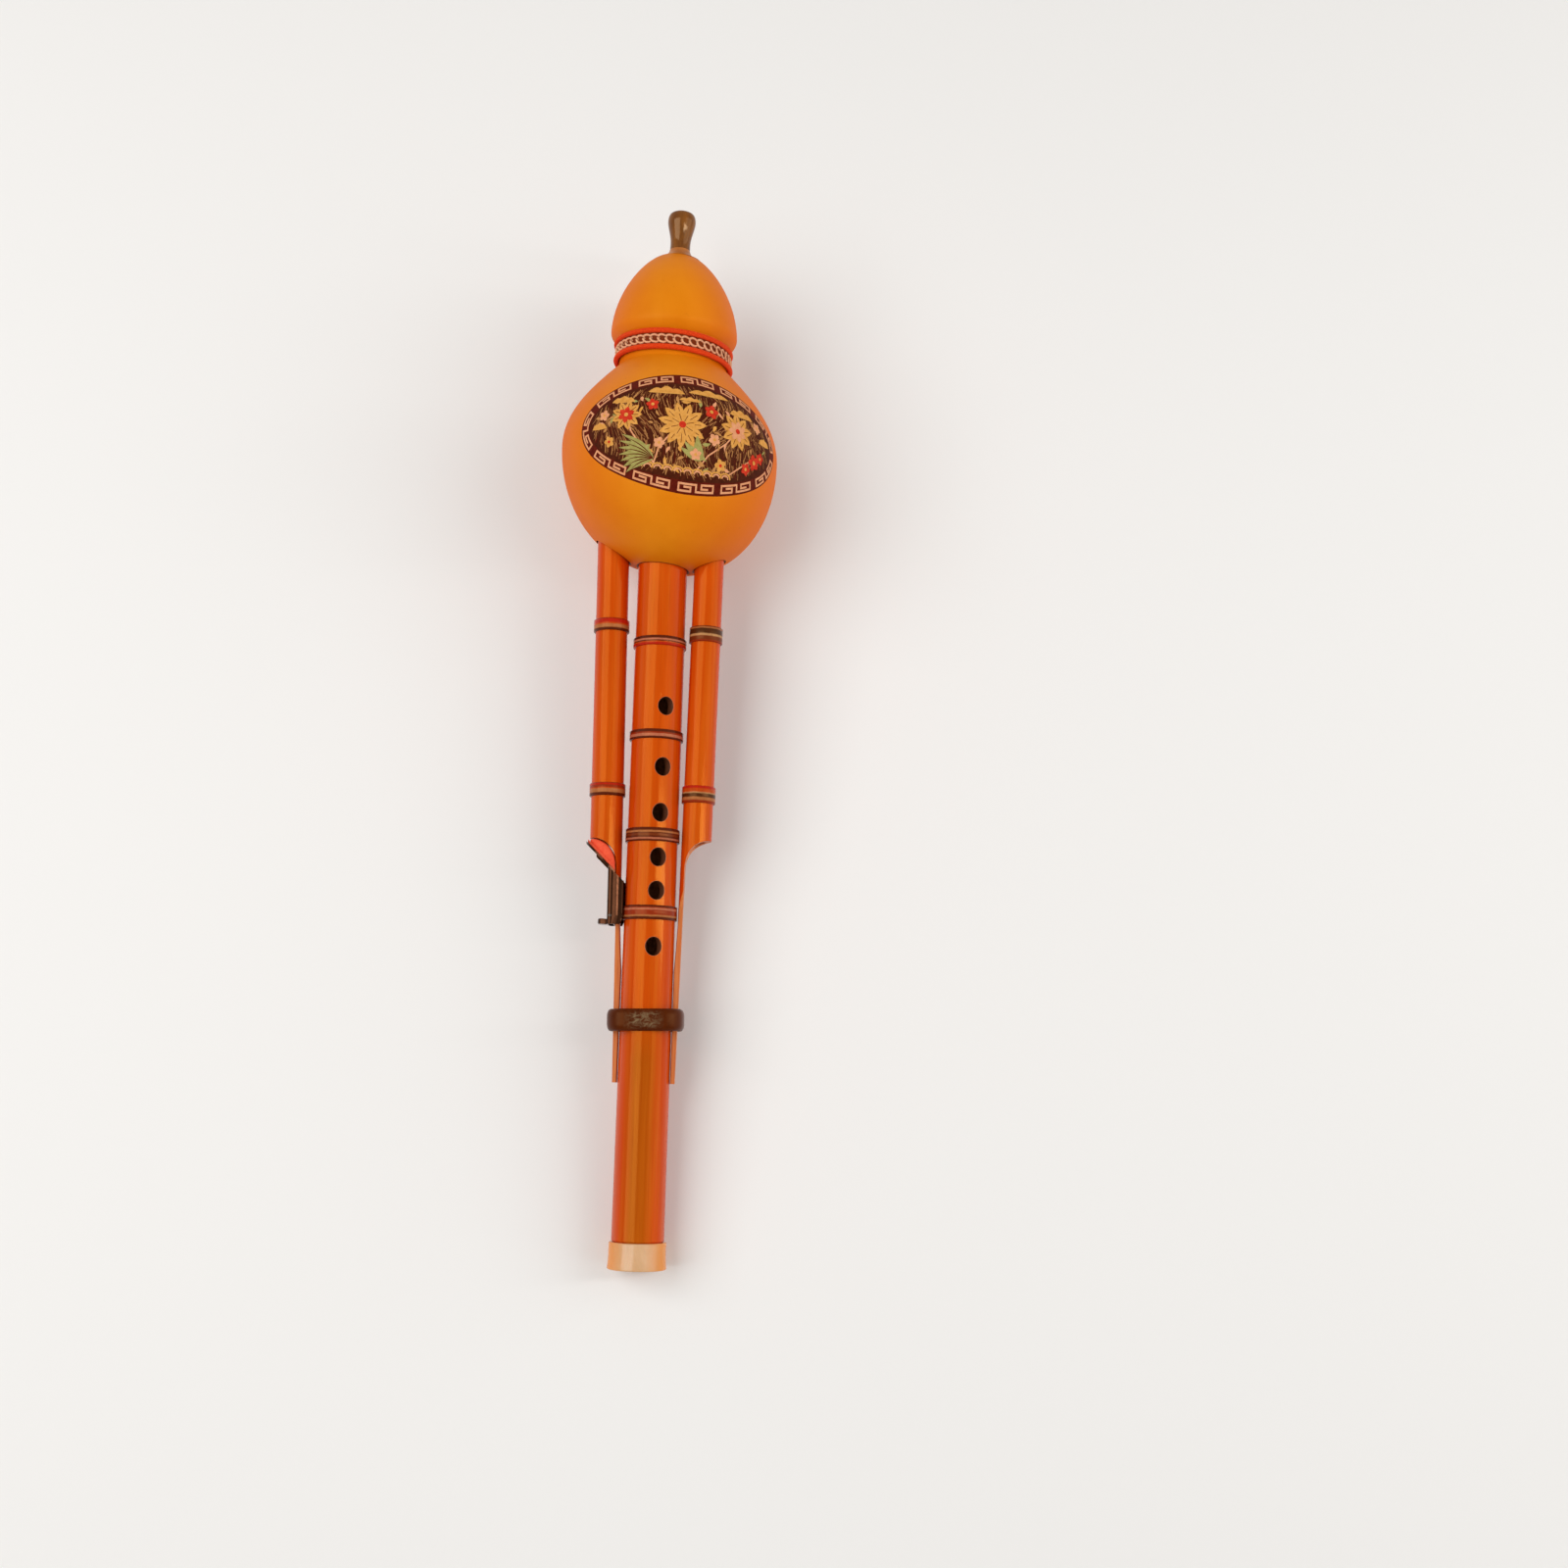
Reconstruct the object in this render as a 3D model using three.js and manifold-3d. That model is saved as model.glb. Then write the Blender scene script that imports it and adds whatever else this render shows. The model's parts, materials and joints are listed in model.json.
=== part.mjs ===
// Hulusi, a gourd-chambered free-reed flute, modelled piece by piece in millimetres.
// It is built upright with the foot at the bottom and the playing side facing -Y,
// then laid on its back: mouthpiece towards +Y, finger holes up, +Z up.
import * as THREE from 'three';
import { mergeVertices } from 'three/addons/utils/BufferGeometryUtils.js';
import Module from 'manifold-3d';

// Gap between two glued or seated pieces
const clearance = 0.3;
// How far a cutter runs past what it cuts
const overrun = 2;

// Gourd, measured upwards from its underside
const visiblePipeLength = 268.3;
const gourdHeight = 130;
const bulbHeight = 46.7;
const bulbRadius = 42.8;
const waistHeight = 82.3;
const waistRadius = 21.6;
const waistBandHeight = 9.6;
const crownRise = 5.2;
const crownRadius = 25.3;
const neckRadius = 6.8;
const gourdWall = 3;
// Fullness exponents of the four stretches of the outline
const undersideFullness = 2.3;
const shoulderFullness = 1.03;
const domeFullness = 1.79;
const domeTaper = 0.724;
// The natural gourd sits a little to the right, sags to the right and is flatter front to back
const gourdShift = 1.1;
const sagShare = 0.07;
const flatnessShare = 0.96;

// Waist wrapping: two cords with a chain of loops between them
const cordDiameter = 2;
const chainHeight = 3.9;
const chainThickness = 1.8;

// Mouthpiece with its tenon in the gourd's neck
const mouthpieceLength = 21.2;
const mouthpieceRadius = 5.6;
const mouthpieceBore = 4.5;
const tenonDiameter = 9.2;
const tenonLength = 10;
const collarRadius = 8.9;
const collarHeight = 1.3;
const collarSeatShare = 0.972;
// It stands a little to the right of the gourd's middle and leans the same way
const neckShift = 0.9;
const neckLean = THREE.MathUtils.degToRad(1.8);

// Melody pipe
const pipeFootRadius = 9.95;
const pipeTopRadius = 9.65;
const pipeBore = 13;
const pipeInsertion = 52;
const footTenonDiameter = 18.6;

// Finger holes, oval, in a line that turns slightly towards the right of the front
const fingerHoleHeight = 7.1;
const fingerHoleWidth = 6.3;
const fingerHoleShares = [0.4472, 0.5265, 0.5741, 0.6381, 0.7044, 0.7929];
const topHoleTurn = THREE.MathUtils.degToRad(24);
const bottomHoleTurn = THREE.MathUtils.degToRad(15);
const thumbHoleShare = 0.865;
const cordHoleDiameter = 3.6;
const cordHoleShare = 0.17;
const cordHoleTurn = THREE.MathUtils.degToRad(35);

// Ferrule on the foot
const ferruleHeight = 10;
const ferruleLip = 1.2;
const ferruleRadius = 10.8;
const ferruleFlare = 0.35;
const ferruleRound = 0.5;

// Drone pipes: their lower ends are scooped open and run on as a thin tail
const leftDroneRadius = 6.25;
const rightDroneRadius = 5.8;
const droneWall = 2.3;
const droneInsertion = 46;
const tailThickness = 1.8;
const tailEndShare = 0.2555;
const scoopShare = 0.5583;
const scoopRadius = 11.8;
const leftFan = THREE.MathUtils.degToRad(0.9);
const rightFan = THREE.MathUtils.degToRad(0.65);

// Lacquered line bands round the pipes
const bandThickness = 0.45;
const bandGroove = 0.3;
const mainBands = [
  { share: 0.8891, height: 3.7 },
  { share: 0.7519, height: 4 },
  { share: 0.6065, height: 5.2 },
  { share: 0.4953, height: 5.4 },
];
const leftBands = [
  { share: 0.9143, height: 4.8 },
  { share: 0.6719, height: 5 },
];
const rightBands = [
  { share: 0.9038, height: 6.2 },
  { share: 0.6677, height: 6.6 },
];

// Clasp ring that ties both tails to the melody pipe
const claspShare = 0.344;
const claspHeight = 8.3;
const claspWall = 1.6;
const claspTurn = THREE.MathUtils.degToRad(1.5);
const claspCornerRadius = 6;
const claspEdgeRound = 1.1;

// Wax seals where the pipes pass through the gourd, and plugs in their upper ends
const sealWall = 0.8;
const sealDepth = 6;
const plugLength = 8;

// Free reeds on a flat filed on each sounding pipe: their place in the inserted length, and their
// sizes as shares of the pipe's radius
const mainReedPlace = 0.57;
const leftReedPlace = 0.6;
const reedFlatShare = 0.15;
const reedWidthShare = 0.78;
const reedLengthShare = 2.3;
const tongueWidthShare = 0.34;
const tongueLengthShare = 1.55;
const tongueTipShare = 0.3;
const reedSheet = 0.45;
const tongueSheet = 0.3;

// Key that closes the left drone: a sheet-metal lever with a cushion
const keySheet = 0.6;
const flapThickness = 0.9;
const flapOverhang = 1.5;
const wallOverhang = 0.95;
const padInset = 0.2;
const leverDepth = 11.8;
const leverCornerRadius = 1.6;
const pivotDrop = 18.3;
const leverFoot = 3.3;
const pinDiameter = 0.9;
const pinStand = 1.1;
const pinHead = 0.5;
const saddleSheet = 0.45;
const saddleRise = 5;
const strapWidth = 5;
const strapReachShare = 0.8;
const thumbTabLength = 3.3;
const thumbTabThickness = 2;
const thumbTabWidth = 7;
const springWire = 0.32;
const springTurns = 5;
const springPitch = 1.1;
const springLeg = 4.4;
const springHeel = 2;

// Numbers of faces
const gourdSides = 44;
const pipeSides = 32;
const droneSides = 24;
const smallSides = 16;
const holeSides = 16;
const pinSides = 12;
const cordSides = 6;
const wireSides = 5;
const springSteps = 10;
const mouthpieceSides = 24;
const cornerSteps = 5;
const undersideRows = 8;
const shoulderRows = 7;
const domeRows = 7;

const wasm = await Module();
wasm.setup();

// Materials

function finish(color, roughness, metalness = 0) {
  return new THREE.MeshStandardMaterial({ color, roughness, metalness });
}

// Solids

function signedVolume(positions, index) {
  const a = new THREE.Vector3();
  const b = new THREE.Vector3();
  const c = new THREE.Vector3();
  let total = 0;
  for (let i = 0; i < index.length; i += 3) {
    a.fromArray(positions, 3 * index[i]);
    b.fromArray(positions, 3 * index[i + 1]);
    c.fromArray(positions, 3 * index[i + 2]);
    total += a.dot(b.cross(c));
  }
  return total;
}

// Shared vertices merged, empty triangles dropped and all faces turned outwards
function weld(geometry) {
  const bare = geometry.clone();
  bare.deleteAttribute('normal');
  bare.deleteAttribute('uv');
  const merged = mergeVertices(bare);
  const source = merged.index.array;
  const kept = [];
  for (let i = 0; i < source.length; i += 3) {
    const [a, b, c] = [source[i], source[i + 1], source[i + 2]];
    if (a !== b && b !== c && c !== a) {
      kept.push(a, b, c);
    }
  }
  if (signedVolume(merged.attributes.position.array, kept) < 0) {
    kept.reverse();
  }
  merged.setIndex(kept);
  return merged;
}

function solid(geometry) {
  const welded = weld(geometry);
  return new wasm.Manifold(new wasm.Mesh({
    numProp: 3,
    vertProperties: new Float32Array(welded.attributes.position.array),
    triVerts: new Uint32Array(welded.index.array),
  }));
}

function geometryOf(body) {
  const mesh = body.getMesh();
  const geometry = new THREE.BufferGeometry();
  geometry.setAttribute('position', new THREE.BufferAttribute(mesh.vertProperties, 3));
  geometry.setIndex(new THREE.BufferAttribute(mesh.triVerts, 1));
  return geometry;
}

function cut(geometry, cutters) {
  let body = solid(geometry);
  for (const cutter of cutters) {
    body = body.subtract(solid(cutter));
  }
  return geometryOf(body);
}

function common(geometry, other) {
  return geometryOf(solid(geometry).intersect(solid(other)));
}

function join(pieces) {
  let body = solid(pieces[0]);
  for (const piece of pieces.slice(1)) {
    body = body.add(solid(piece));
  }
  return geometryOf(body);
}

// Turned form from [radius, height] points, with a flat side facing front and back
function turned(outline, sides) {
  const points = outline.map(([radius, height]) => new THREE.Vector2(radius, height));
  const geometry = new THREE.LatheGeometry(points, sides, Math.PI / sides);
  return geometry.rotateX(Math.PI / 2);
}

function turnedRing(outline, sides) {
  return turned([...outline, outline[0]], sides);
}

function tube(innerRadius, outerRadius, bottom, top, sides) {
  return turnedRing([
    [innerRadius, bottom],
    [outerRadius, bottom],
    [outerRadius, top],
    [innerRadius, top],
  ], sides);
}

function rod(radius, bottom, top, sides) {
  return turned([[0, bottom], [radius, bottom], [radius, top], [0, top]], sides);
}

// Side view drawn in X and Z, with its depth centred on Y
function slab(points, depth) {
  const shape = new THREE.Shape(points.map(([x, z]) => new THREE.Vector2(x, z)));
  const geometry = new THREE.ExtrudeGeometry(shape, { depth, bevelEnabled: false });
  return geometry.rotateX(Math.PI / 2).translate(0, depth / 2, 0);
}

function block(width, depth, height, x, y, z) {
  return new THREE.BoxGeometry(width, depth, height).translate(x, y, z);
}

// Closed band through loops that have the same number of points
function skinned(loops) {
  const count = loops[0].length;
  const positions = loops.flat(2);
  const index = [];
  for (let row = 0; row < loops.length; row += 1) {
    const next = (row + 1) % loops.length;
    for (let i = 0; i < count; i += 1) {
      const j = (i + 1) % count;
      const [a, b] = [row * count + i, row * count + j];
      const [c, d] = [next * count + j, next * count + i];
      index.push(a, b, c, a, c, d);
    }
  }
  const geometry = new THREE.BufferGeometry();
  geometry.setAttribute('position', new THREE.Float32BufferAttribute(positions, 3));
  geometry.setIndex(index);
  return weld(geometry);
}

// Heights and outlines that several pieces share

const gourdTop = visiblePipeLength + gourdHeight;
const bulbLevel = visiblePipeLength + bulbHeight;
const waistLevel = visiblePipeLength + waistHeight;
const waistTop = waistLevel + waistBandHeight;
const crownLevel = waistTop + crownRise;
const pipeTop = visiblePipeLength + pipeInsertion;
const droneTop = visiblePipeLength + droneInsertion;
const tailEnd = visiblePipeLength * tailEndShare;
const scoopLevel = visiblePipeLength * scoopShare;
const boreRadius = pipeBore / 2;

function pipeRadiusAt(height) {
  const share = Math.min(height / visiblePipeLength, 1);
  return THREE.MathUtils.lerp(pipeFootRadius, pipeTopRadius, share);
}

// Radius of the round gourd before it is flattened and shifted
function gourdRadiusAt(height) {
  if (height < bulbLevel) {
    const rise = (bulbLevel - height) / bulbHeight;
    return bulbRadius * Math.pow(Math.max(1 - rise * rise, 0), 1 / undersideFullness);
  }
  if (height < waistLevel) {
    const rise = Math.pow((height - bulbLevel) / (waistLevel - bulbLevel), shoulderFullness);
    return waistRadius + (bulbRadius - waistRadius) * Math.cos(rise * Math.PI / 2);
  }
  if (height < waistTop) {
    return waistRadius;
  }
  if (height < crownLevel) {
    const rise = (height - waistTop) / crownRise;
    return waistRadius + (crownRadius - waistRadius) * Math.sin(rise * Math.PI / 2);
  }
  const rise = Math.pow(Math.min((height - crownLevel) / (gourdTop - crownLevel), 1), domeFullness);
  return neckRadius + (crownRadius - neckRadius) * Math.pow(1 - rise, domeTaper);
}

// The natural gourd's shape: flatter front to back, and sagging to the right
function grown(geometry) {
  const places = geometry.attributes.position;
  for (let i = 0; i < places.count; i += 1) {
    const [x, y, z] = [places.getX(i), places.getY(i), places.getZ(i)];
    const sag = sagShare * (gourdTop - z) / gourdHeight;
    places.setXYZ(i, x + gourdShift, y * flatnessShare, z - x * sag);
  }
  return geometry;
}

function gourdOutline() {
  const heights = [];
  for (let i = 1; i <= undersideRows; i += 1) {
    heights.push(bulbLevel - bulbHeight * Math.cos(i / undersideRows * Math.PI / 2));
  }
  for (let i = 1; i <= shoulderRows; i += 1) {
    heights.push(bulbLevel + (waistLevel - bulbLevel) * i / shoulderRows);
  }
  heights.push(waistTop, THREE.MathUtils.lerp(waistTop, crownLevel, 1 / 2), crownLevel);
  for (let i = 1; i <= domeRows; i += 1) {
    heights.push(THREE.MathUtils.lerp(crownLevel, gourdTop, Math.sin(i / domeRows * Math.PI / 2)));
  }
  const outline = heights.map((height) => [gourdRadiusAt(height), height]);
  return [[0, visiblePipeLength], ...outline, [0, gourdTop]];
}

function gourdOutside() {
  return grown(turned(gourdOutline(), gourdSides));
}

// The wind chamber is the outer form drawn in by the wall, square to the surface
function gourdInside() {
  const outline = gourdOutline();
  const drawnIn = [];
  for (let i = 1; i < outline.length - 1; i += 1) {
    const outwards = outline[i + 1][0] - outline[i - 1][0];
    const upwards = outline[i + 1][1] - outline[i - 1][1];
    const inset = gourdWall / Math.hypot(outwards, upwards);
    drawnIn.push([outline[i][0] - inset * upwards, outline[i][1] + inset * outwards]);
  }
  const floor = [0, visiblePipeLength + gourdWall];
  const ceiling = [0, gourdTop - gourdWall];
  return grown(turned([floor, ...drawnIn, ceiling], droneSides));
}

// Frames of the two drones: origin at the middle of the tube, level with the tail's end

function droneFrame(radius, fan, side) {
  const frame = new THREE.Group();
  const spread = pipeRadiusAt(tailEnd) + clearance + radius;
  frame.position.set(side * spread, 0, tailEnd);
  frame.rotation.y = side * fan;
  frame.updateMatrix();
  return frame;
}

const leftFrame = droneFrame(leftDroneRadius, leftFan, -1);
const rightFrame = droneFrame(rightDroneRadius, rightFan, 1);

// Frame of the mouthpiece: origin at the middle of its seat on the gourd's top
const mouthpieceFrame = new THREE.Group();
mouthpieceFrame.position.set(gourdShift + neckShift, 0, gourdTop);
mouthpieceFrame.rotation.y = neckLean;
mouthpieceFrame.updateMatrix();

// Gourd, with a hole for the mouthpiece and one for each pipe

function sealRadius(pipeRadius) {
  return pipeRadius + clearance + sealWall;
}

function gourdGeometry() {
  const hole = (radius) => rod(
    sealRadius(radius) + clearance,
    visiblePipeLength - gourdWall - overrun,
    bulbLevel - overrun,
    pipeSides,
  );
  const droneHole = (radius, frame) => hole(radius).translate(0, 0, -tailEnd).applyMatrix4(frame.matrix);
  const neckHole = rod(tenonDiameter / 2 + clearance, -tenonLength - gourdWall, overrun, smallSides);
  return cut(gourdOutside(), [
    gourdInside(),
    hole(pipeTopRadius),
    droneHole(leftDroneRadius, leftFrame),
    droneHole(rightDroneRadius, rightFrame),
    neckHole.applyMatrix4(mouthpieceFrame.matrix),
  ]);
}

// Wax sleeve between a pipe and its hole, flush with the gourd's underside
function sealGeometry(pipeRadius, frame, sides) {
  const bottom = visiblePipeLength - overrun;
  const top = visiblePipeLength + gourdWall + sealDepth;
  const sleeve = tube(pipeRadius + clearance, sealRadius(pipeRadius), bottom, top, sides);
  if (frame === null) {
    return common(sleeve, gourdOutside());
  }
  const outside = gourdOutside().applyMatrix4(frame.matrix.clone().invert());
  return common(sleeve.translate(0, 0, -tailEnd), outside);
}

// Waist wrapping

function waistCordGeometry(level) {
  const radius = cordDiameter / 2;
  const middle = waistRadius + clearance + radius;
  const section = [];
  for (let i = 0; i < cordSides; i += 1) {
    const angle = i * 2 * Math.PI / cordSides;
    section.push([middle + radius * Math.cos(angle), level + radius * Math.sin(angle)]);
  }
  return grown(turnedRing(section, gourdSides));
}

function waistChainGeometry(level) {
  const inner = waistRadius + clearance;
  const outer = inner + chainThickness;
  const low = level - chainHeight / 2;
  const high = level + chainHeight / 2;
  const round = chainThickness / 3;
  return grown(turnedRing([
    [inner, low],
    [outer - round, low],
    [outer, low + round],
    [outer, high - round],
    [outer - round, high],
    [inner, high],
  ], gourdSides));
}

// Mouthpiece: a bored club shape with a tenon, glued into the neck

const mouthpieceProfileShares = [
  [0.88, 0],
  [0.73, 0.12],
  [0.68, 0.27],
  [0.73, 0.41],
  [0.82, 0.51],
  [0.93, 0.63],
  [1, 0.75],
  [0.99, 0.85],
  [0.9, 0.93],
  [0.72, 0.985],
  [0.55, 1],
];

// The leaning foot clears the flat top of the gourd
const mouthpieceBase = clearance + mouthpieceRadius * Math.sin(neckLean);

function mouthpieceGeometry() {
  const bore = mouthpieceBore / 2;
  const tenon = tenonDiameter / 2;
  const profile = mouthpieceProfileShares.map(([radius, height]) => [
    radius * mouthpieceRadius,
    mouthpieceBase + height * mouthpieceLength,
  ]);
  return turnedRing([
    [bore, -tenonLength],
    [tenon, -tenonLength],
    [tenon, mouthpieceBase],
    ...profile,
    [bore, mouthpieceBase + mouthpieceLength],
  ], mouthpieceSides);
}

// Fillet of glue round the foot of the mouthpiece, seated on the gourd's shoulder
function mouthpieceSealGeometry() {
  const inner = mouthpieceProfileShares[0][0] * mouthpieceRadius + clearance;
  const shoulder = (collarSeatShare - 1) * (gourdTop - crownLevel);
  const fillet = turnedRing([
    [inner, shoulder - overrun],
    [collarRadius, shoulder - overrun],
    [collarRadius, shoulder + 2 * clearance],
    [(inner + collarRadius) / 2, mouthpieceBase + collarHeight / 2],
    [inner, mouthpieceBase + collarHeight],
  ], pipeSides);
  const raised = gourdOutside().translate(0, 0, clearance);
  return cut(fillet, [raised.applyMatrix4(mouthpieceFrame.matrix.clone().invert())]);
}

// Reeds: each sounding pipe has a flat with a window, a plate over it and a tongue in the plate

function reedSizes(radius, level) {
  return {
    level,
    face: radius * (1 - reedFlatShare),
    plateWidth: radius * reedWidthShare,
    plateLength: radius * reedLengthShare,
    tongueWidth: radius * tongueWidthShare,
    tongueLength: radius * tongueLengthShare,
  };
}

const mainReed = reedSizes(pipeTopRadius, visiblePipeLength + pipeInsertion * mainReedPlace);
const leftReed = reedSizes(leftDroneRadius, visiblePipeLength + droneInsertion * leftReedPlace);

function reedFlatCutter(reed, radius) {
  const depth = radius;
  return block(4 * radius, depth, reed.plateLength + 4 * clearance, 0, -reed.face - depth / 2, reed.level);
}

function reedWindowCutter(reed, radius) {
  const window = reed.tongueLength + 4 * clearance;
  return block(reed.tongueWidth + 2 * clearance, radius, window, 0, -radius + reedSheet, reed.level);
}

function tongueOutline(reed, grow) {
  const low = reed.level - reed.tongueLength / 2 - grow;
  const high = reed.level + reed.tongueLength / 2 + grow;
  const root = reed.tongueWidth / 2 + grow;
  const tip = reed.tongueWidth * tongueTipShare / 2 + grow;
  return [[-root, low], [root, low], [tip, high], [-tip, high]];
}

function reedPlateGeometry(reed) {
  const middle = -reed.face - clearance - reedSheet / 2;
  const plate = block(reed.plateWidth, reedSheet, reed.plateLength, 0, middle, reed.level);
  const slot = slab(tongueOutline(reed, clearance), reedSheet + 2 * overrun).translate(0, middle, 0);
  return cut(plate, [slot]);
}

function reedTongueGeometry(reed) {
  const middle = -reed.face - clearance - reedSheet / 2;
  return slab(tongueOutline(reed, 0), tongueSheet).translate(0, middle, 0);
}

// Melody pipe

function fingerHoleCutter(share, turn, width, height) {
  const reach = pipeFootRadius;
  const drill = new THREE.CylinderGeometry(1, 1, reach, holeSides);
  drill.scale(width / 2, 1, height / 2);
  drill.translate(0, -reach / 2 - boreRadius / 2, 0);
  return drill.rotateZ(turn).translate(0, 0, visiblePipeLength * share);
}

function mainPipeGeometry() {
  const tenon = footTenonDiameter / 2;
  const bottom = ferruleLip + clearance;
  const shoulder = ferruleHeight + clearance;
  const body = turnedRing([
    [boreRadius, bottom],
    [tenon, bottom],
    [tenon, shoulder],
    [pipeRadiusAt(shoulder), shoulder],
    [pipeTopRadius, visiblePipeLength],
    [pipeTopRadius, pipeTop],
    [boreRadius, pipeTop],
  ], pipeSides);
  const highest = fingerHoleShares[fingerHoleShares.length - 1];
  const lowest = fingerHoleShares[0];
  const cutters = fingerHoleShares.map((share) => {
    const turn = THREE.MathUtils.mapLinear(share, lowest, highest, bottomHoleTurn, topHoleTurn);
    return fingerHoleCutter(share, turn, fingerHoleWidth, fingerHoleHeight);
  });
  cutters.push(fingerHoleCutter(thumbHoleShare, Math.PI, fingerHoleWidth, fingerHoleHeight));
  for (const side of [-1, 1]) {
    const turn = Math.PI + side * cordHoleTurn;
    cutters.push(fingerHoleCutter(cordHoleShare, turn, cordHoleDiameter, cordHoleDiameter));
  }
  cutters.push(reedFlatCutter(mainReed, pipeTopRadius), reedWindowCutter(mainReed, pipeTopRadius));
  return cut(body, cutters);
}

function plugGeometry(radius, top, sides) {
  return rod(radius - clearance, top - clearance - plugLength, top - clearance, sides);
}

// Two ridges with a groove between them, following the pipe's taper
function bandGeometry(radiusAt, level, height, sides) {
  const low = level - height / 2;
  const high = level + height / 2;
  const inside = (z) => radiusAt(z) + clearance;
  const outside = (z) => inside(z) + bandThickness;
  const edge = height / 5;
  return turnedRing([
    [inside(low), low],
    [outside(low), low],
    [outside(level - edge), level - edge],
    [outside(level) - bandGroove, level],
    [outside(level + edge), level + edge],
    [outside(high), high],
    [inside(high), high],
  ], sides);
}

function ferruleGeometry() {
  const bore = boreRadius + clearance;
  const seat = footTenonDiameter / 2 + clearance;
  const flared = ferruleRadius + ferruleFlare;
  return turnedRing([
    [bore, 0],
    [flared - ferruleRound, 0],
    [flared, ferruleRound],
    [ferruleRadius, ferruleHeight / 2],
    [ferruleRadius, ferruleHeight - ferruleRound],
    [ferruleRadius - ferruleRound, ferruleHeight],
    [seat, ferruleHeight],
    [seat, ferruleLip],
    [bore, ferruleLip],
  ], pipeSides);
}

// Drones, in their own frame: the tube, scooped from the outer side, leaves a thin tail.
// The left one has its outer side at -X.

function scoopCutter(radius) {
  const face = radius - tailThickness;
  const middle = scoopLevel - tailEnd;
  const shape = new THREE.Shape();
  shape.moveTo(face, -overrun);
  shape.lineTo(face, middle);
  shape.absarc(face - scoopRadius, middle, scoopRadius, 0, Math.PI / 2, false);
  shape.lineTo(-radius - scoopRadius, middle + scoopRadius);
  shape.lineTo(-radius - scoopRadius, -overrun);
  const depth = 4 * radius;
  const options = { depth, bevelEnabled: false, curveSegments: 8 };
  return new THREE.ExtrudeGeometry(shape, options).rotateX(Math.PI / 2).translate(0, depth / 2, 0);
}

function droneGeometry(radius, side, reed) {
  const body = tube(radius - droneWall, radius, 0, droneTop - tailEnd, droneSides);
  const cutters = [side < 0 ? scoopCutter(radius) : scoopCutter(radius).rotateZ(Math.PI)];
  if (reed) {
    cutters.push(reedFlatCutter(reed, radius).translate(0, 0, -tailEnd));
    cutters.push(reedWindowCutter(reed, radius).translate(0, 0, -tailEnd));
  }
  return cut(body, cutters);
}

// Clasp ring: a rounded oblong band with rolled edges

const claspLevel = visiblePipeLength * claspShare;

function oblongLoop(radius, height) {
  const tailFaces = pipeRadiusAt(claspLevel) + 3 * clearance + tailThickness;
  const coreWidth = tailFaces + clearance - claspCornerRadius;
  const coreDepth = pipeRadiusAt(claspLevel) + clearance - claspCornerRadius;
  const loop = [];
  for (let corner = 0; corner < 4; corner += 1) {
    const x = corner === 0 || corner === 3 ? coreWidth : -coreWidth;
    const y = corner < 2 ? coreDepth : -coreDepth;
    for (let i = 0; i <= cornerSteps; i += 1) {
      const angle = (corner + i / cornerSteps) * Math.PI / 2;
      loop.push([x + radius * Math.cos(angle), y + radius * Math.sin(angle), height]);
    }
  }
  return loop;
}

function claspGeometry() {
  const high = claspHeight / 2;
  const outer = claspCornerRadius + claspWall;
  return skinned([
    oblongLoop(claspCornerRadius, -high),
    oblongLoop(outer - claspEdgeRound, -high),
    oblongLoop(outer - claspEdgeRound / 3, claspEdgeRound - high),
    oblongLoop(outer, 2 * claspEdgeRound - high),
    oblongLoop(outer, high - 2 * claspEdgeRound),
    oblongLoop(outer - claspEdgeRound / 3, high - claspEdgeRound),
    oblongLoop(outer - claspEdgeRound, high),
    oblongLoop(claspCornerRadius, high),
  ]);
}

// Key, in the left drone's frame

const tailFace = leftDroneRadius - tailThickness;
const scoopMiddle = scoopLevel - tailEnd;
const pivotLevel = scoopMiddle - pivotDrop;
const saddleFace = tailFace - clearance - saddleSheet;
const pivotX = saddleFace - pinStand;
const webInside = pivotX - springWire - pinDiameter / 2 - springWire - clearance / 2;
const webOutside = webInside - keySheet;
const padEdge = leftDroneRadius - clearance;
const leverEdge = leftDroneRadius + wallOverhang;
const leverHalf = leverDepth / 2;
const wallInside = leverHalf - keySheet;
const leverBottom = pivotLevel - leverFoot;

// Height of the 45 degree line that closes the scoop, moved outwards by a distance
function chordLevel(x, away) {
  const corner = scoopMiddle + scoopRadius - (x - (tailFace - scoopRadius));
  return corner - away * Math.SQRT2;
}

function chordStrip(from, to, near, far, depth) {
  return slab([
    [from, chordLevel(from, near)],
    [from, chordLevel(from, far)],
    [to, chordLevel(to, far)],
    [to, chordLevel(to, near)],
  ], depth);
}

function flapGeometry() {
  const radius = leftDroneRadius + flapOverhang;
  const end = tailFace - clearance;
  const under = clearance + flapThickness;
  const strip = chordStrip(-2 * radius, end, clearance, under, 4 * radius);
  return common(strip, rod(radius, leverBottom, scoopMiddle + 2 * scoopRadius, droneSides));
}

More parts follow.
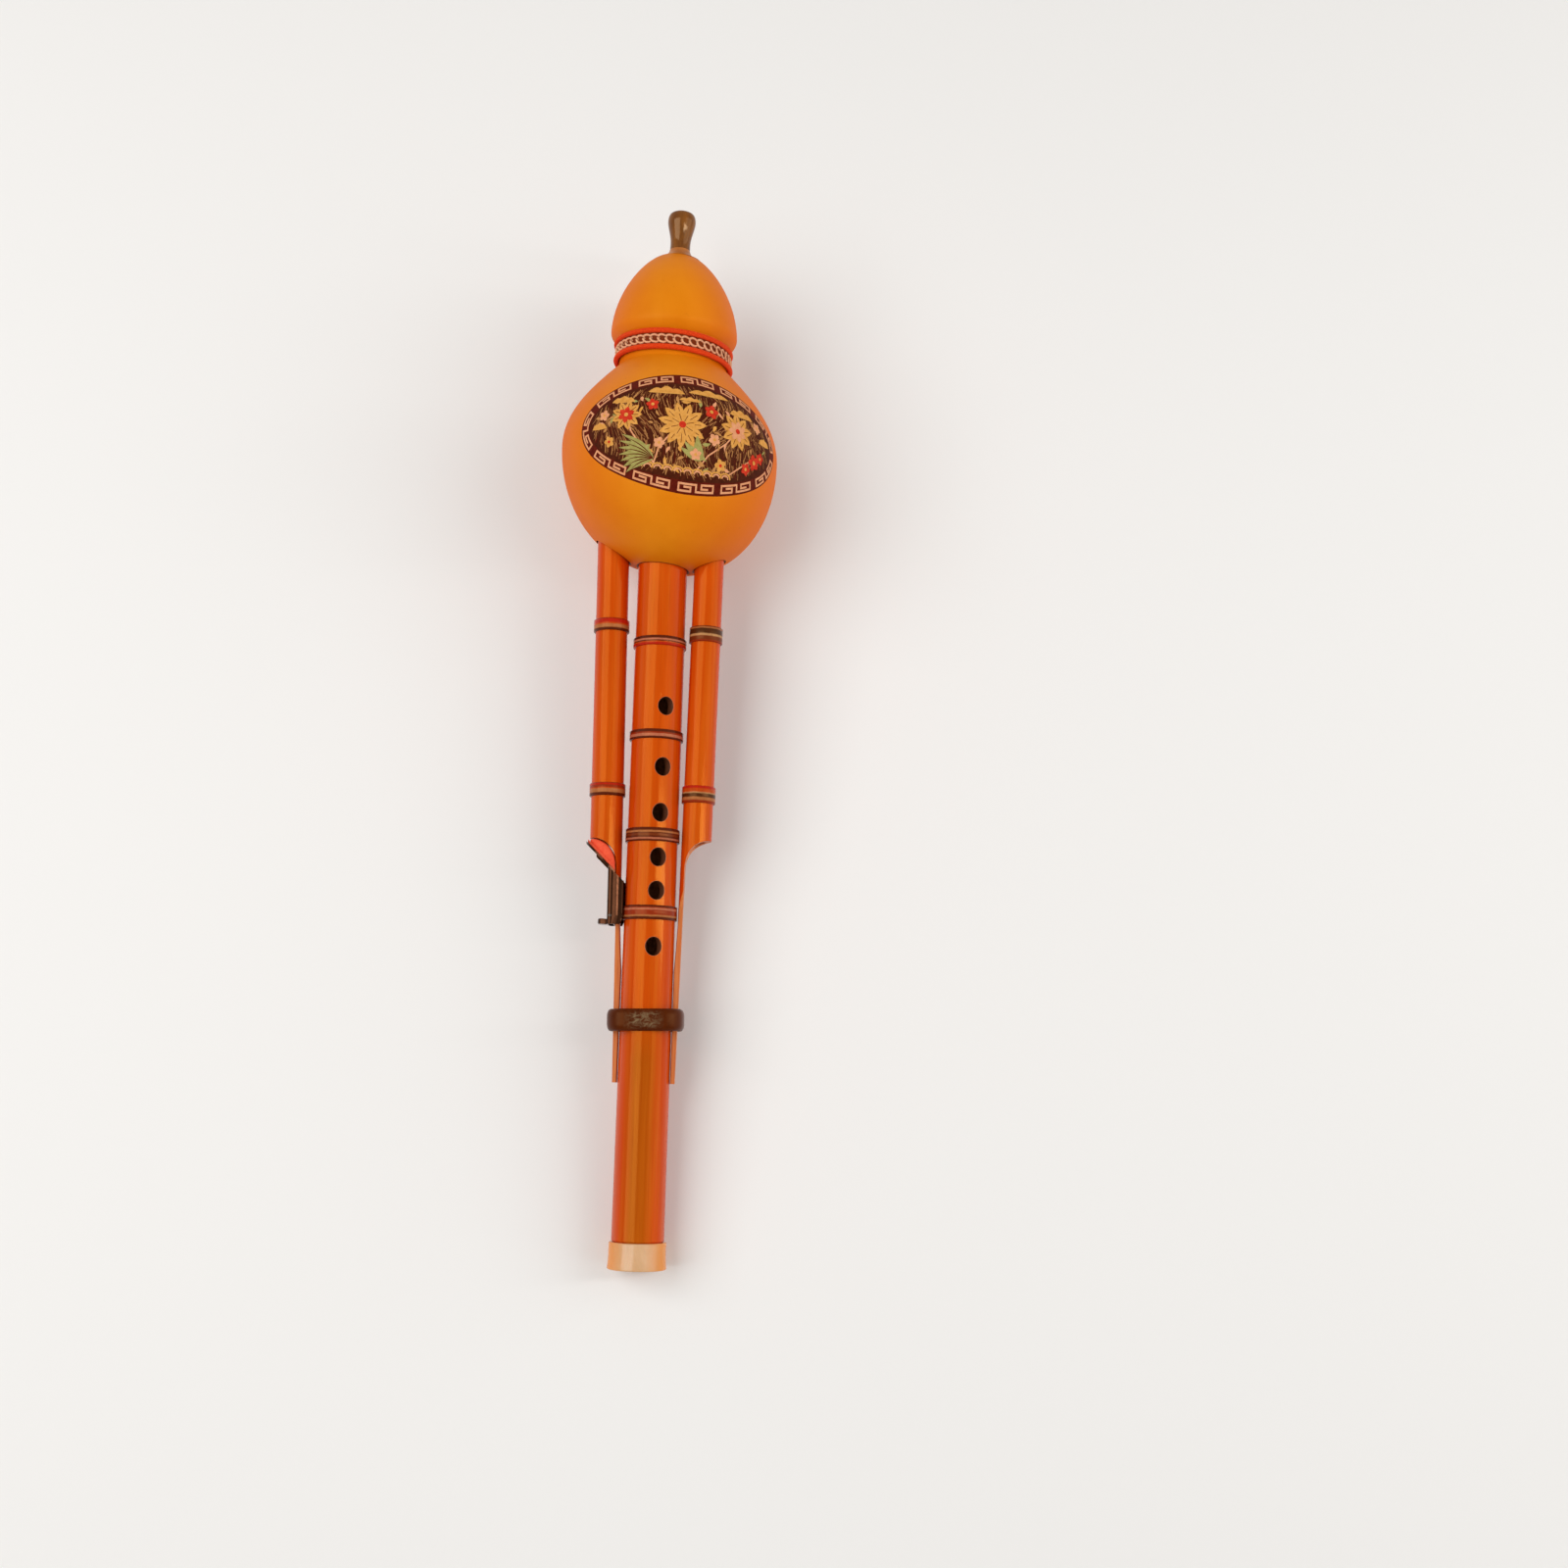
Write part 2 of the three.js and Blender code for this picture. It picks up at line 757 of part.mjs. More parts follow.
function channelGeometry() {
  const outerRound = leverCornerRadius;
  const innerRound = leverCornerRadius - keySheet;
  const innerX = webInside + innerRound;
  const innerY = wallInside - innerRound;
  const outerX = webOutside + outerRound;
  const outerY = leverHalf - outerRound;
  const quarter = Math.PI / 2;
  const shape = new THREE.Shape();
  shape.moveTo(leverEdge, -leverHalf);
  shape.lineTo(leverEdge, -wallInside);
  shape.lineTo(innerX, -wallInside);
  shape.absarc(innerX, -innerY, innerRound, -quarter, -2 * quarter, true);
  shape.lineTo(webInside, innerY);
  shape.absarc(innerX, innerY, innerRound, 2 * quarter, quarter, true);
  shape.lineTo(leverEdge, wallInside);
  shape.lineTo(leverEdge, leverHalf);
  shape.lineTo(outerX, leverHalf);
  shape.absarc(outerX, outerY, outerRound, quarter, 2 * quarter, false);
  shape.lineTo(webOutside, -outerY);
  shape.absarc(outerX, -outerY, outerRound, 2 * quarter, 3 * quarter, false);
  const depth = scoopMiddle + scoopRadius - leverBottom;
  const options = { depth, bevelEnabled: false, curveSegments: 4 };
  const section = new THREE.ExtrudeGeometry(shape, options).translate(0, 0, leverBottom);
  const under = clearance + flapThickness / 2;
  const left = webOutside - overrun;
  const right = leverEdge + overrun;
  const side = slab([
    [left, leverBottom],
    [right, leverBottom],
    [right, chordLevel(right, under)],
    [left, chordLevel(left, under)],
  ], 2 * leverDepth);
  return common(section, side);
}

function thumbTabGeometry() {
  const tip = thumbTabWidth / 2;
  const shape = new THREE.Shape();
  const start = webOutside + keySheet / 2;
  const end = webOutside - thumbTabLength + tip / 2;
  shape.moveTo(start, -tip);
  shape.lineTo(start, tip);
  shape.lineTo(end, tip);
  shape.absellipse(end, 0, tip / 2, tip, Math.PI / 2, 3 * Math.PI / 2, false);
  const options = { depth: thumbTabThickness, bevelEnabled: false, curveSegments: 8 };
  return new THREE.ExtrudeGeometry(shape, options).translate(0, 0, leverBottom);
}

function leverGeometry() {
  const reach = -leftDroneRadius * strapReachShare;
  const under = clearance + flapThickness;
  const strap = chordStrip(reach, webInside, under - flapThickness / 2, under + keySheet, strapWidth);
  const pinHole = new THREE.CylinderGeometry(1, 1, 2 * leverDepth, pinSides);
  const holeRadius = pinDiameter / 2 + clearance;
  pinHole.scale(holeRadius, 1, holeRadius).translate(pivotX, 0, pivotLevel);
  return cut(join([flapGeometry(), channelGeometry(), strap, thumbTabGeometry()]), [pinHole]);
}

// Cushion that fills the scoop between the pipe's mouth and the flap
function padGeometry() {
  const centre = tailFace - scoopRadius;
  const round = scoopRadius - clearance;
  const disc = new THREE.CylinderGeometry(round, round, 4 * leftDroneRadius, 4 * smallSides);
  disc.translate(centre, 0, scoopMiddle);
  const above = slab([
    [centre - scoopRadius, chordLevel(centre - scoopRadius, 0)],
    [padEdge, chordLevel(padEdge, 0)],
    [padEdge, scoopMiddle + 2 * scoopRadius],
  ], 4 * leftDroneRadius);
  const oval = rod(leftDroneRadius - padInset, leverBottom, scoopMiddle + 2 * scoopRadius, droneSides);
  return common(common(disc, above), oval);
}

// Saddle glued to the tail: a base plate with two lugs that hold the pin
function saddleGeometry() {
  const lugOutside = wallInside - clearance;
  const low = leverBottom;
  const height = leverFoot + saddleRise;
  const middle = saddleFace + saddleSheet / 2;
  const base = block(saddleSheet, 2 * lugOutside, height, middle, 0, low + height / 2);
  const pieces = [base];
  for (const side of [-1, 1]) {
    const eye = new THREE.CylinderGeometry(1, 1, keySheet, smallSides);
    const radius = pinStand - clearance / 2;
    const lugMiddle = side * (lugOutside - keySheet / 2);
    eye.scale(radius, 1, radius).translate(pivotX, lugMiddle, pivotLevel);
    const cheekWidth = pinStand + saddleSheet;
    const cheekMiddle = pivotX + cheekWidth / 2;
    const cheek = block(cheekWidth, keySheet, 2 * radius, cheekMiddle, lugMiddle, pivotLevel);
    pieces.push(eye, cheek);
  }
  const hole = new THREE.CylinderGeometry(1, 1, 2 * leverDepth, pinSides);
  const holeRadius = pinDiameter / 2 + clearance / 3;
  hole.scale(holeRadius, 1, holeRadius).translate(pivotX, 0, pivotLevel);
  return cut(join(pieces), [hole]);
}

function pinGeometry() {
  const half = leverHalf + clearance;
  const radius = pinDiameter / 2;
  const head = radius + clearance + clearance / 2;
  const pin = turned([
    [0, -half - pinHead],
    [radius, -half - pinHead],
    [head, -half - pinHead / 2],
    [head, -half],
    [radius, -half],
    [radius, half],
    [head, half],
    [head, half + pinHead / 2],
    [radius, half + pinHead],
    [0, half + pinHead],
  ], pinSides);
  return pin.rotateX(Math.PI / 2).translate(pivotX, 0, pivotLevel);
}

// Torsion spring round the pin: a helix whose legs bear on the saddle and on the lever's web
class SpringCurve extends THREE.Curve {
  getPoint(t, target = new THREE.Vector3()) {
    const radius = pinDiameter / 2 + clearance / 2 + springWire / 2;
    const coil = 2 * Math.PI * radius * (springTurns + 1 / 2);
    const total = springLeg + coil + springHeel;
    const run = t * total;
    const half = springPitch * (springTurns + 1 / 2) / 2;
    if (run < springLeg) {
      return target.set(pivotX + radius, -half, pivotLevel + springLeg - run);
    }
    if (run > springLeg + coil) {
      return target.set(pivotX - radius, half, pivotLevel - (run - springLeg - coil));
    }
    const turn = (run - springLeg) / coil;
    const angle = -turn * (springTurns + 1 / 2) * 2 * Math.PI;
    const x = pivotX + radius * Math.cos(angle);
    const z = pivotLevel + radius * Math.sin(angle);
    return target.set(x, -half + 2 * half * turn, z);
  }
}

function springGeometry() {
  const radius = springWire / 2;
  const corners = [];
  for (let i = 0; i < wireSides; i += 1) {
    const angle = i * 2 * Math.PI / wireSides;
    corners.push(new THREE.Vector2(radius * Math.cos(angle), radius * Math.sin(angle)));
  }
  const steps = springSteps * springTurns + smallSides;
  const options = { steps, bevelEnabled: false, extrudePath: new SpringCurve() };
  return new THREE.ExtrudeGeometry(new THREE.Shape(corners), options);
}

// Colours and finishes

const amberGourd = finish(0xc8741a, 0.35);
const bamboo = finish(0xb8430f, 0.25);
const darkBand = finish(0x43120a, 0.4);
const hornBrown = finish(0x4a2408, 0.2);
const darkHorn = finish(0x2c1408, 0.2);
const milkRing = finish(0xe8dcc4, 0.35);
const redCord = finish(0xc42c0c, 0.85);
const paleChain = finish(0xd8a090, 0.6);
const amberGlue = finish(0xb87830, 0.3);
const beeswax = finish(0x8a5a20, 0.6);
const cork = finish(0xa87848, 0.9);
const blackNickel = finish(0x2a2624, 0.2, 1);
const brass = finish(0xc49a48, 0.3, 1);
const steel = finish(0xb4b4b8, 0.3, 1);
const redPad = finish(0xd83c34, 0.9);

// Assembly

function place(parent, name, geometry, material) {
  const mesh = new THREE.Mesh(weld(geometry), material);
  mesh.name = name;
  parent.add(mesh);
  return mesh;
}

function inDroneFrame(geometry) {
  return geometry.translate(0, 0, -tailEnd);
}

const upright = new THREE.Group();
upright.add(leftFrame, rightFrame, mouthpieceFrame);

place(upright, 'gourd', gourdGeometry(), amberGourd);
place(upright, 'gourd_seal_main', sealGeometry(pipeTopRadius, null, pipeSides), beeswax);
place(leftFrame, 'gourd_seal_left', sealGeometry(leftDroneRadius, leftFrame, droneSides), beeswax);
place(rightFrame, 'gourd_seal_right', sealGeometry(rightDroneRadius, rightFrame, droneSides), beeswax);

const cordRise = (chainHeight + cordDiameter) / 2 + clearance;
const waistMiddle = waistLevel + waistBandHeight / 2;
place(upright, 'waist_cord_lower', waistCordGeometry(waistMiddle - cordRise), redCord);
place(upright, 'waist_chain', waistChainGeometry(waistMiddle), paleChain);
place(upright, 'waist_cord_upper', waistCordGeometry(waistMiddle + cordRise), redCord);

place(mouthpieceFrame, 'mouthpiece', mouthpieceGeometry(), hornBrown);
place(mouthpieceFrame, 'mouthpiece_seal', mouthpieceSealGeometry(), amberGlue);

place(upright, 'main_pipe', mainPipeGeometry(), bamboo);
place(upright, 'main_pipe_plug', plugGeometry(boreRadius, pipeTop, smallSides), cork);
mainBands.forEach(({ share, height }, i) => {
  const geometry = bandGeometry(pipeRadiusAt, visiblePipeLength * share, height, pipeSides);
  place(upright, `main_pipe_band_${i + 1}`, geometry, darkBand);
});
place(upright, 'main_reed_plate', reedPlateGeometry(mainReed), brass);
place(upright, 'main_reed_tongue', reedTongueGeometry(mainReed), brass);
place(upright, 'foot_ferrule', ferruleGeometry(), milkRing);
const clasp = place(upright, 'clasp_ring', claspGeometry(), darkHorn);
clasp.position.z = claspLevel;
clasp.rotation.y = -claspTurn;

function addDrone(frame, name, radius, side, bands, reed) {
  place(frame, name, droneGeometry(radius, side, reed), bamboo);
  const plug = plugGeometry(radius - droneWall, droneTop, smallSides);
  place(frame, `${name}_plug`, inDroneFrame(plug), cork);
  bands.forEach(({ share, height }, i) => {
    const band = bandGeometry(() => radius, visiblePipeLength * share, height, droneSides);
    place(frame, `${name}_band_${i + 1}`, inDroneFrame(band), darkBand);
  });
}

addDrone(leftFrame, 'left_drone', leftDroneRadius, -1, leftBands, leftReed);
addDrone(rightFrame, 'right_drone', rightDroneRadius, 1, rightBands, null);
place(leftFrame, 'left_reed_plate', inDroneFrame(reedPlateGeometry(leftReed)), brass);
place(leftFrame, 'left_reed_tongue', inDroneFrame(reedTongueGeometry(leftReed)), brass);

place(leftFrame, 'key_saddle', saddleGeometry(), blackNickel);
place(leftFrame, 'key_pin', pinGeometry(), steel);
place(leftFrame, 'key_spring', springGeometry(), steel);
place(leftFrame, 'key_lever', leverGeometry(), blackNickel);
place(leftFrame, 'key_pad', padGeometry(), redPad);

// Laid on its back, the instrument touches the ground with the gourd and the ferrule's edge

function lieAngle() {
  const foot = ferruleRadius + ferruleFlare;
  let steepest = 0;
  for (const [radius, height] of gourdOutline()) {
    steepest = Math.max(steepest, (radius * flatnessShare - foot) / (height - ferruleRound));
  }
  return Math.atan(steepest);
}

upright.rotation.x = lieAngle() - Math.PI / 2;
const hulusi = new THREE.Group();
hulusi.add(upright);
hulusi.updateMatrixWorld(true);
const bounds = new THREE.Box3().setFromObject(hulusi, true);
const middle = bounds.getCenter(new THREE.Vector3());
upright.position.set(-middle.x, -middle.y, -bounds.min.z);

export default hulusi;
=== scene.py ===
"""Looks of a hulusi, a gourd-chambered free-reed flute that lies on its back.

Each piece is built in millimetres in the instrument's upright frame (x across, y towards the back,
z from the foot towards the mouthpiece), or in the same axes along its own pipe, and a matrix then
lays its mesh where the solid is.
"""

import json
import random
from math import copysign, cos, exp, hypot, pi, radians, sin, sqrt

import bpy
import numpy as np
from mathutils import Matrix, Vector


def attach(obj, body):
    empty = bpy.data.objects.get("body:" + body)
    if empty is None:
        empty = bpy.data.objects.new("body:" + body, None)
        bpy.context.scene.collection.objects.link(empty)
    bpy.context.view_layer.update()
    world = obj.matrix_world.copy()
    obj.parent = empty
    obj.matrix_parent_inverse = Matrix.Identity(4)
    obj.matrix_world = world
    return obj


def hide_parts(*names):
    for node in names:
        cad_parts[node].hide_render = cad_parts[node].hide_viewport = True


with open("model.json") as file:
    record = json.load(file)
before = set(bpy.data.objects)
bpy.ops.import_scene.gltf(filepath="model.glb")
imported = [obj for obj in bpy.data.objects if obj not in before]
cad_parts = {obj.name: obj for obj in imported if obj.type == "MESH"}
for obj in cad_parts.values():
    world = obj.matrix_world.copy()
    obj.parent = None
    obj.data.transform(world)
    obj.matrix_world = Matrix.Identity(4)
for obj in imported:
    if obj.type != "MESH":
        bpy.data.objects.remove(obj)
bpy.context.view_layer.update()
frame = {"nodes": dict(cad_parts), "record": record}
nodes = frame["nodes"]

MM = 0.001
TAU = 2 * pi

# Where the instrument lies

mounts = {mount["name"]: mount for mount in frame["record"]["mounts"]}
UP = -Vector(mounts["foot_end"]["axis"])
FRONT = -Vector(mounts["clasp_back"]["axis"])
RIGHT = Vector((1, 0, 0))
FOOT = Vector(mounts["foot_end"]["pos_m"]) - 8.7 * MM * RIGHT
UPRIGHT = Matrix.Translation(FOOT) @ Matrix((RIGHT, -FRONT, UP)).transposed().to_4x4()


def shifted(x, y, z):
    """A shift given in millimetres."""
    return Matrix.Translation(Vector((x, y, z)) * MM)


def leaning(degrees):
    """A turn to the right, seen from the playing side."""
    return Matrix.Rotation(radians(degrees), 4, "Y")


# Sizes of the solids, in millimetres

CLEARANCE = 0.3
PIPE = 268.3
GOURD = 130
BULB, BULB_R = 46.7, 42.8
WAIST, WAIST_R, WAIST_BAND = 82.3, 21.6, 9.6
CROWN, CROWN_R = 5.2, 25.3
NECK_R = 6.8
UNDER, SHOULDER, DOME, TAPER = 2.3, 1.03, 1.79, 0.724
SHIFT, SAG, FLAT = 1.1, 0.07, 0.96
WALL = 3
TOP = PIPE + GOURD
BULB_Z = PIPE + BULB
WAIST_Z = PIPE + WAIST
WAIST_TOP = WAIST_Z + WAIST_BAND
CROWN_Z = WAIST_TOP + CROWN
DOME_TALL = TOP - CROWN_Z
PIPE_FOOT_R, PIPE_TOP_R = 9.95, 9.65
BORE_R = 6.5
PIPE_INSERT, DRONE_INSERT = 52, 46
PIPE_END = PIPE + PIPE_INSERT
DRONE_END = PIPE + DRONE_INSERT
MAIN_REED = PIPE + PIPE_INSERT * 0.57
LEFT_REED = PIPE + DRONE_INSERT * 0.6
DRONE_WALL = 2.3
TAIL = 1.8
TAIL_END = PIPE * 0.2555
SCOOP = PIPE * 0.5583
SCOOP_R = 11.8


def pipe_radius(z):
    return PIPE_FOOT_R + (PIPE_TOP_R - PIPE_FOOT_R) * min(z / PIPE, 1)


def gourd_radius(z):
    if z < BULB_Z:
        rise = (BULB_Z - z) / BULB
        return BULB_R * max(1 - rise * rise, 0) ** (1 / UNDER)
    if z < WAIST_Z:
        rise = ((z - BULB_Z) / (WAIST_Z - BULB_Z)) ** SHOULDER
        return WAIST_R + (BULB_R - WAIST_R) * cos(rise * pi / 2)
    if z < WAIST_TOP:
        return WAIST_R
    if z < CROWN_Z:
        return WAIST_R + (CROWN_R - WAIST_R) * sin((z - WAIST_TOP) / CROWN * pi / 2)
    rise = min((z - CROWN_Z) / DOME_TALL, 1) ** DOME
    return NECK_R + (CROWN_R - NECK_R) * (1 - rise) ** TAPER


def grown(x, y, z):
    """The natural gourd's shape: flatter front to back, and sagging to the right."""
    return x + SHIFT, y * FLAT, z - x * SAG * (TOP - z) / GOURD


def drone_matrix(radius, fan, side):
    spread = pipe_radius(TAIL_END) + CLEARANCE + radius
    return UPRIGHT @ shifted(side * spread, 0, TAIL_END) @ leaning(side * fan)


LEFT_R, RIGHT_R = 6.25, 5.8
LEFT_FAN, RIGHT_FAN = 0.9, 0.65
LEFT = drone_matrix(LEFT_R, LEFT_FAN, -1)
RIGHT_DRONE = drone_matrix(RIGHT_R, RIGHT_FAN, 1)
MOUTH_R, MOUTH_LEAN = 5.6, 1.8
MOUTH = UPRIGHT @ shifted(SHIFT + 0.9, 0, TOP) @ leaning(MOUTH_LEAN)

# Camera

def add_camera():
    data = bpy.data.cameras.new("camera")
    data.lens = 43.1
    data.sensor_width = 36
    data.sensor_fit = "HORIZONTAL"
    data.clip_start = 0.01
    camera = bpy.data.objects.new("camera", data)
    bpy.context.scene.collection.objects.link(camera)
    direction = 0.14919 * UP - 0.98881 * FRONT
    across = 0.99963 * RIGHT + 0.02692 * UP + 0.00406 * FRONT
    back = -direction.normalized()
    right = (across - across.dot(back) * back).normalized()
    top = back.cross(right)
    turn = Matrix((right, top, back)).transposed().to_4x4()
    place = UPRIGHT @ (Vector((50.2, -721.1, 76.0)) * MM)
    camera.matrix_world = Matrix.Translation(place) @ turn
    bpy.context.scene.camera = camera


add_camera()

# Material nodes


def feed(tree, socket, value):
    """Link another node's output to a socket, or set the socket's own value."""
    if isinstance(value, bpy.types.NodeSocket):
        tree.links.new(value, socket)
    else:
        socket.default_value = value


def add_node(tree, kind, inputs, **settings):
    made = tree.nodes.new(kind)
    for key, value in settings.items():
        setattr(made, key, value)
    for key, value in inputs.items():
        feed(tree, made.inputs[key], value)
    return made


class Look:
    """A material whose nodes are added one by one.

    `at` is the object's place in metres, and `place` is the same along the piece's own axes.
    """

    def __init__(self, name, rough, level=0.5, tint=(1, 1, 1), metal=0.0, **more):
        self.material = bpy.data.materials.new(name)
        self.material.use_nodes = True
        self.tree = self.material.node_tree
        self.shader = self.tree.nodes["Principled BSDF"]
        self.set("Roughness", rough)
        self.set("Specular IOR Level", level)
        self.set("Specular Tint", (*tint, 1))
        self.set("Metallic", metal)
        for key, value in more.items():
            self.set(key.replace("_", " "), value)
        self.at = self.node("ShaderNodeTexCoord", {}).outputs["Object"]
        self.place = self.node("ShaderNodeAttribute", {}, attribute_name="place").outputs["Vector"]

    def set(self, socket, value):
        feed(self.tree, self.shader.inputs[socket], value)

    def node(self, kind, inputs, **settings):
        return add_node(self.tree, kind, inputs, **settings)

    def noise(self, scale, detail, rough, stretch=None, distortion=0.0):
        """Noise through the object, or stretched along the piece where a share is given."""
        at = self.at
        if stretch is not None:
            inputs = {"Vector": self.place, "Scale": (1, 1, stretch)}
            at = self.node("ShaderNodeMapping", inputs).outputs[0]
        inputs = {"Vector": at, "Scale": scale, "Detail": detail}
        inputs.update({"Roughness": rough, "Distortion": distortion})
        return self.node("ShaderNodeTexNoise", inputs).outputs[0]

    def spread(self, value, low, high, out_low=0.0, out_high=1.0):
        inputs = {0: value, 1: low, 2: high, 3: out_low, 4: out_high}
        return self.node("ShaderNodeMapRange", inputs).outputs[0]

    def mix(self, share, first, second):
        inputs = {0: share}
        for socket, value in ((6, first), (7, second)):
            inputs[socket] = value if isinstance(value, bpy.types.NodeSocket) else (*value, 1)
        return self.node("ShaderNodeMix", inputs, data_type="RGBA").outputs[2]

    def sums(self, operation, first, second=0.0):
        return self.node("ShaderNodeMath", {0: first, 1: second}, operation=operation).outputs[0]

    def bump(self, height, strength, distance=0.0002):
        inputs = {"Height": height, "Strength": strength, "Distance": distance}
        self.set("Normal", self.node("ShaderNodeBump", inputs).outputs[0])

    def part(self, axis):
        return self.node("ShaderNodeSeparateXYZ", {0: self.place}).outputs[axis]

    def gloss(self, level):
        """Gloss that dies away where the surface turns from view, as lacquer on soft wood does."""
        facing = self.node("ShaderNodeLayerWeight", {"Blend": 0.5}).outputs["Facing"]
        self.set("Specular IOR Level", self.spread(facing, 0.55, 0.95, level, 0.03))

    def aside(self, near, far, full=1.0):
        """0 on the playing side of a round piece, and full beyond the far angle round it; it masks the painted
        shade on the sides.
        """
        front = self.sums("MULTIPLY", self.part(1), -1.0)
        turn = self.sums("ABSOLUTE", self.sums("ARCTAN2", self.part(0), front))
        return self.spread(turn, radians(near), radians(far), 0.0, full)

    def paint(self, colour):
        self.set("Base Color", colour)
        return self.material


def gourd_look():
    look = Look("gourd_skin", 0.5, tint=(1, 0.65, 0.3))
    cloud = look.spread(look.noise(26, 4, 0.55), 0.32, 0.7)
    streak = look.spread(look.noise(60, 3, 0.6, 0.25), 0.35, 0.75, 0.0, 0.3)
    speck = look.spread(look.noise(700, 2, 0.6), 0.68, 0.78, 0.0, 0.25)
    base = look.mix(cloud, (0.68, 0.175, 0.001), (0.78, 0.235, 0.004))
    base = look.mix(streak, base, (0.86, 0.3, 0.012))
    # The sides, turned from the playing side, are a deeper and darker orange: painted shade and painted warm
    # reflection at the gourd's edges.
    base = look.mix(look.aside(12, 75, 0.8), base, (0.72, 0.125, 0.001))
    look.gloss(0.2)
    look.bump(look.noise(90, 4, 0.5), 0.12, 0.0006)
    return look.paint(look.mix(speck, base, (0.4, 0.08, 0.001)))


def lacquer_look(name, browned=None):
    """Clear orange lacquer, with its sides painted a deeper red as painted shade; the playing side is browner below
    the given height in metres.
    """
    look = Look(name, 0.12, tint=(1, 0.5, 0.08))
    fibre = look.noise(1500, 3, 0.6, 0.018)
    vein = look.noise(420, 3, 0.5, 0.03)
    cloud = look.spread(look.noise(75, 3, 0.5, 0.22), 0.33, 0.7)
    front = look.mix(cloud, (0.54, 0.056, 0.001), (0.64, 0.078, 0.002))
    if browned is not None:
        low = look.spread(look.part(2), browned - 0.01, browned + 0.012, 1, 0)
        front = look.mix(low, front, look.mix(cloud, (0.39, 0.064, 0.001), (0.46, 0.082, 0.002)))
    # The sides are a deeper red than the front: painted shade and painted warm reflection at the pipe's edges.
    sides = look.mix(cloud, (0.56, 0.044, 0.001), (0.64, 0.058, 0.001))
    base = look.mix(look.aside(14, 42), front, sides)
    base = look.mix(look.spread(vein, 0.45, 0.8, 0.0, 0.45), base, (0.62, 0.14, 0.008))
    look.gloss(0.4)
    look.bump(fibre, 0.04)
    return look.paint(look.mix(look.spread(fibre, 0.55, 0.8, 0.0, 0.4), base, (0.32, 0.02, 0.001)))


def striped_look(name, height, stops):
    """Rings of colour up a band, as [share of its height, colour] from the bottom."""
    look = Look(name, 0.2, 0.3, (1, 0.5, 0.2))
    soft = 0.035
    waver = look.spread(look.noise(350, 2, 0.5, 0.0), 0, 1, -soft, soft)
    level = look.sums("DIVIDE", look.part(2), height * MM)
    ramp = look.node("ShaderNodeValToRGB", {0: look.sums("ADD", level, waver)})
    marks = ramp.color_ramp.elements
    marks.remove(marks[1])
    marks[0].color = (*stops[0][1], 1)
    for (_, below), (share, above) in zip(stops[:-1], stops[1:]):
        marks.new(share - soft).color = (*below, 1)
        marks.new(share + soft).color = (*above, 1)
    marks.new(1.0).color = (*stops[-1][1], 1)
    grain = look.spread(look.noise(900, 3, 0.6, 0.2), 0.3, 0.75, 0.0, 0.35)
    return look.paint(look.mix(grain, ramp.outputs[0], (0.12, 0.02, 0.006)))


def horn_look():
    look = Look("brown_horn", 0.1, 0.55, (1, 0.7, 0.4))
    cloud = look.noise(160, 4, 0.6, 0.4, 0.8)
    flow = look.spread(look.noise(600, 3, 0.6, 0.12, 0.4), 0.5, 0.8, 0.0, 0.5)
    base = look.mix(look.spread(cloud, 0.35, 0.68), (0.13, 0.034, 0.002), (0.24, 0.075, 0.006))
    look.bump(cloud, 0.06, 0.0003)
    return look.paint(look.mix(flow, base, (0.0455, 0.0119, 0.0007)))


def clasp_look():
    """Dark horn with a painted highlight in the middle of its front: a mottled lighter patch that stands for glare.
    """
    look = Look("dark_horn", 0.3, 0.2, (1, 0.5, 0.2))
    cloud = look.noise(170, 4, 0.6, 0.5, 0.8)
    base = look.mix(look.spread(cloud, 0.35, 0.68), (0.058, 0.008, 0.001), (0.085, 0.013, 0.001))
    # The mottled patch, kept to the middle of the front, is a painted highlight: glare painted into the colour.
    painted_glare = look.spread(look.noise(330, 4, 0.65, 1.6, 1.5), 0.42, 0.66)
    for axis, inner, outer in ((0, 0.0038, 0.0078), (2, 0.0022, 0.0036)):
        reach = look.sums("ABSOLUTE", look.part(axis))
        painted_glare = look.sums("MULTIPLY", painted_glare, look.spread(reach, inner, outer, 1.0, 0.0))
    look.set("Roughness", look.spread(cloud, 0.3, 0.7, 0.22, 0.4))
    return look.paint(look.mix(painted_glare, base, (0.19, 0.125, 0.065)))


def ferrule_look():
    depth = {"Subsurface_Weight": 0.2, "Subsurface_Radius": (0.004, 0.002, 0.001)}
    look = Look("milky_ring", 0.16, 0.4, **depth)
    cloud = look.spread(look.noise(120, 4, 0.6, 0.5, 1.2), 0.35, 0.7)
    base = look.mix(cloud, (0.64, 0.36, 0.17), (0.72, 0.44, 0.24))
    # The sides, turned from the playing side, are a deeper orange: painted shade and painted warm reflection at the
    # ring's edges.
    return look.paint(look.mix(look.aside(18, 60, 0.95), base, (0.8, 0.27, 0.035)))


def metal_look(name, colour, rough):
    look = Look(name, rough, metal=1.0)
    tarnish = look.spread(look.noise(225, 3, 0.6), 0.3, 0.75)
    wear = look.spread(look.noise(900, 3, 0.6), 0.3, 0.7, rough * 0.8, rough * 1.5)
    look.set("Roughness", wear)
    return look.paint(look.mix(tarnish, colour, [c * 0.7 for c in colour]))


def grain_look(
    name, low, high, rough, level=0.3, tint=(1, 0.7, 0.5), noise=(500, 4, 0.6), span=(0.3, 0.7), bump=0.2, **more
):
    """Two colours mixed by a noise between the two values of a span, which also raises the surface."""
    look = Look(name, rough, level, tint, **more)
    grain = look.spread(look.noise(*noise), *span)
    if bump:
        look.bump(grain, bump)
    return look.paint(look.mix(grain, low, high))


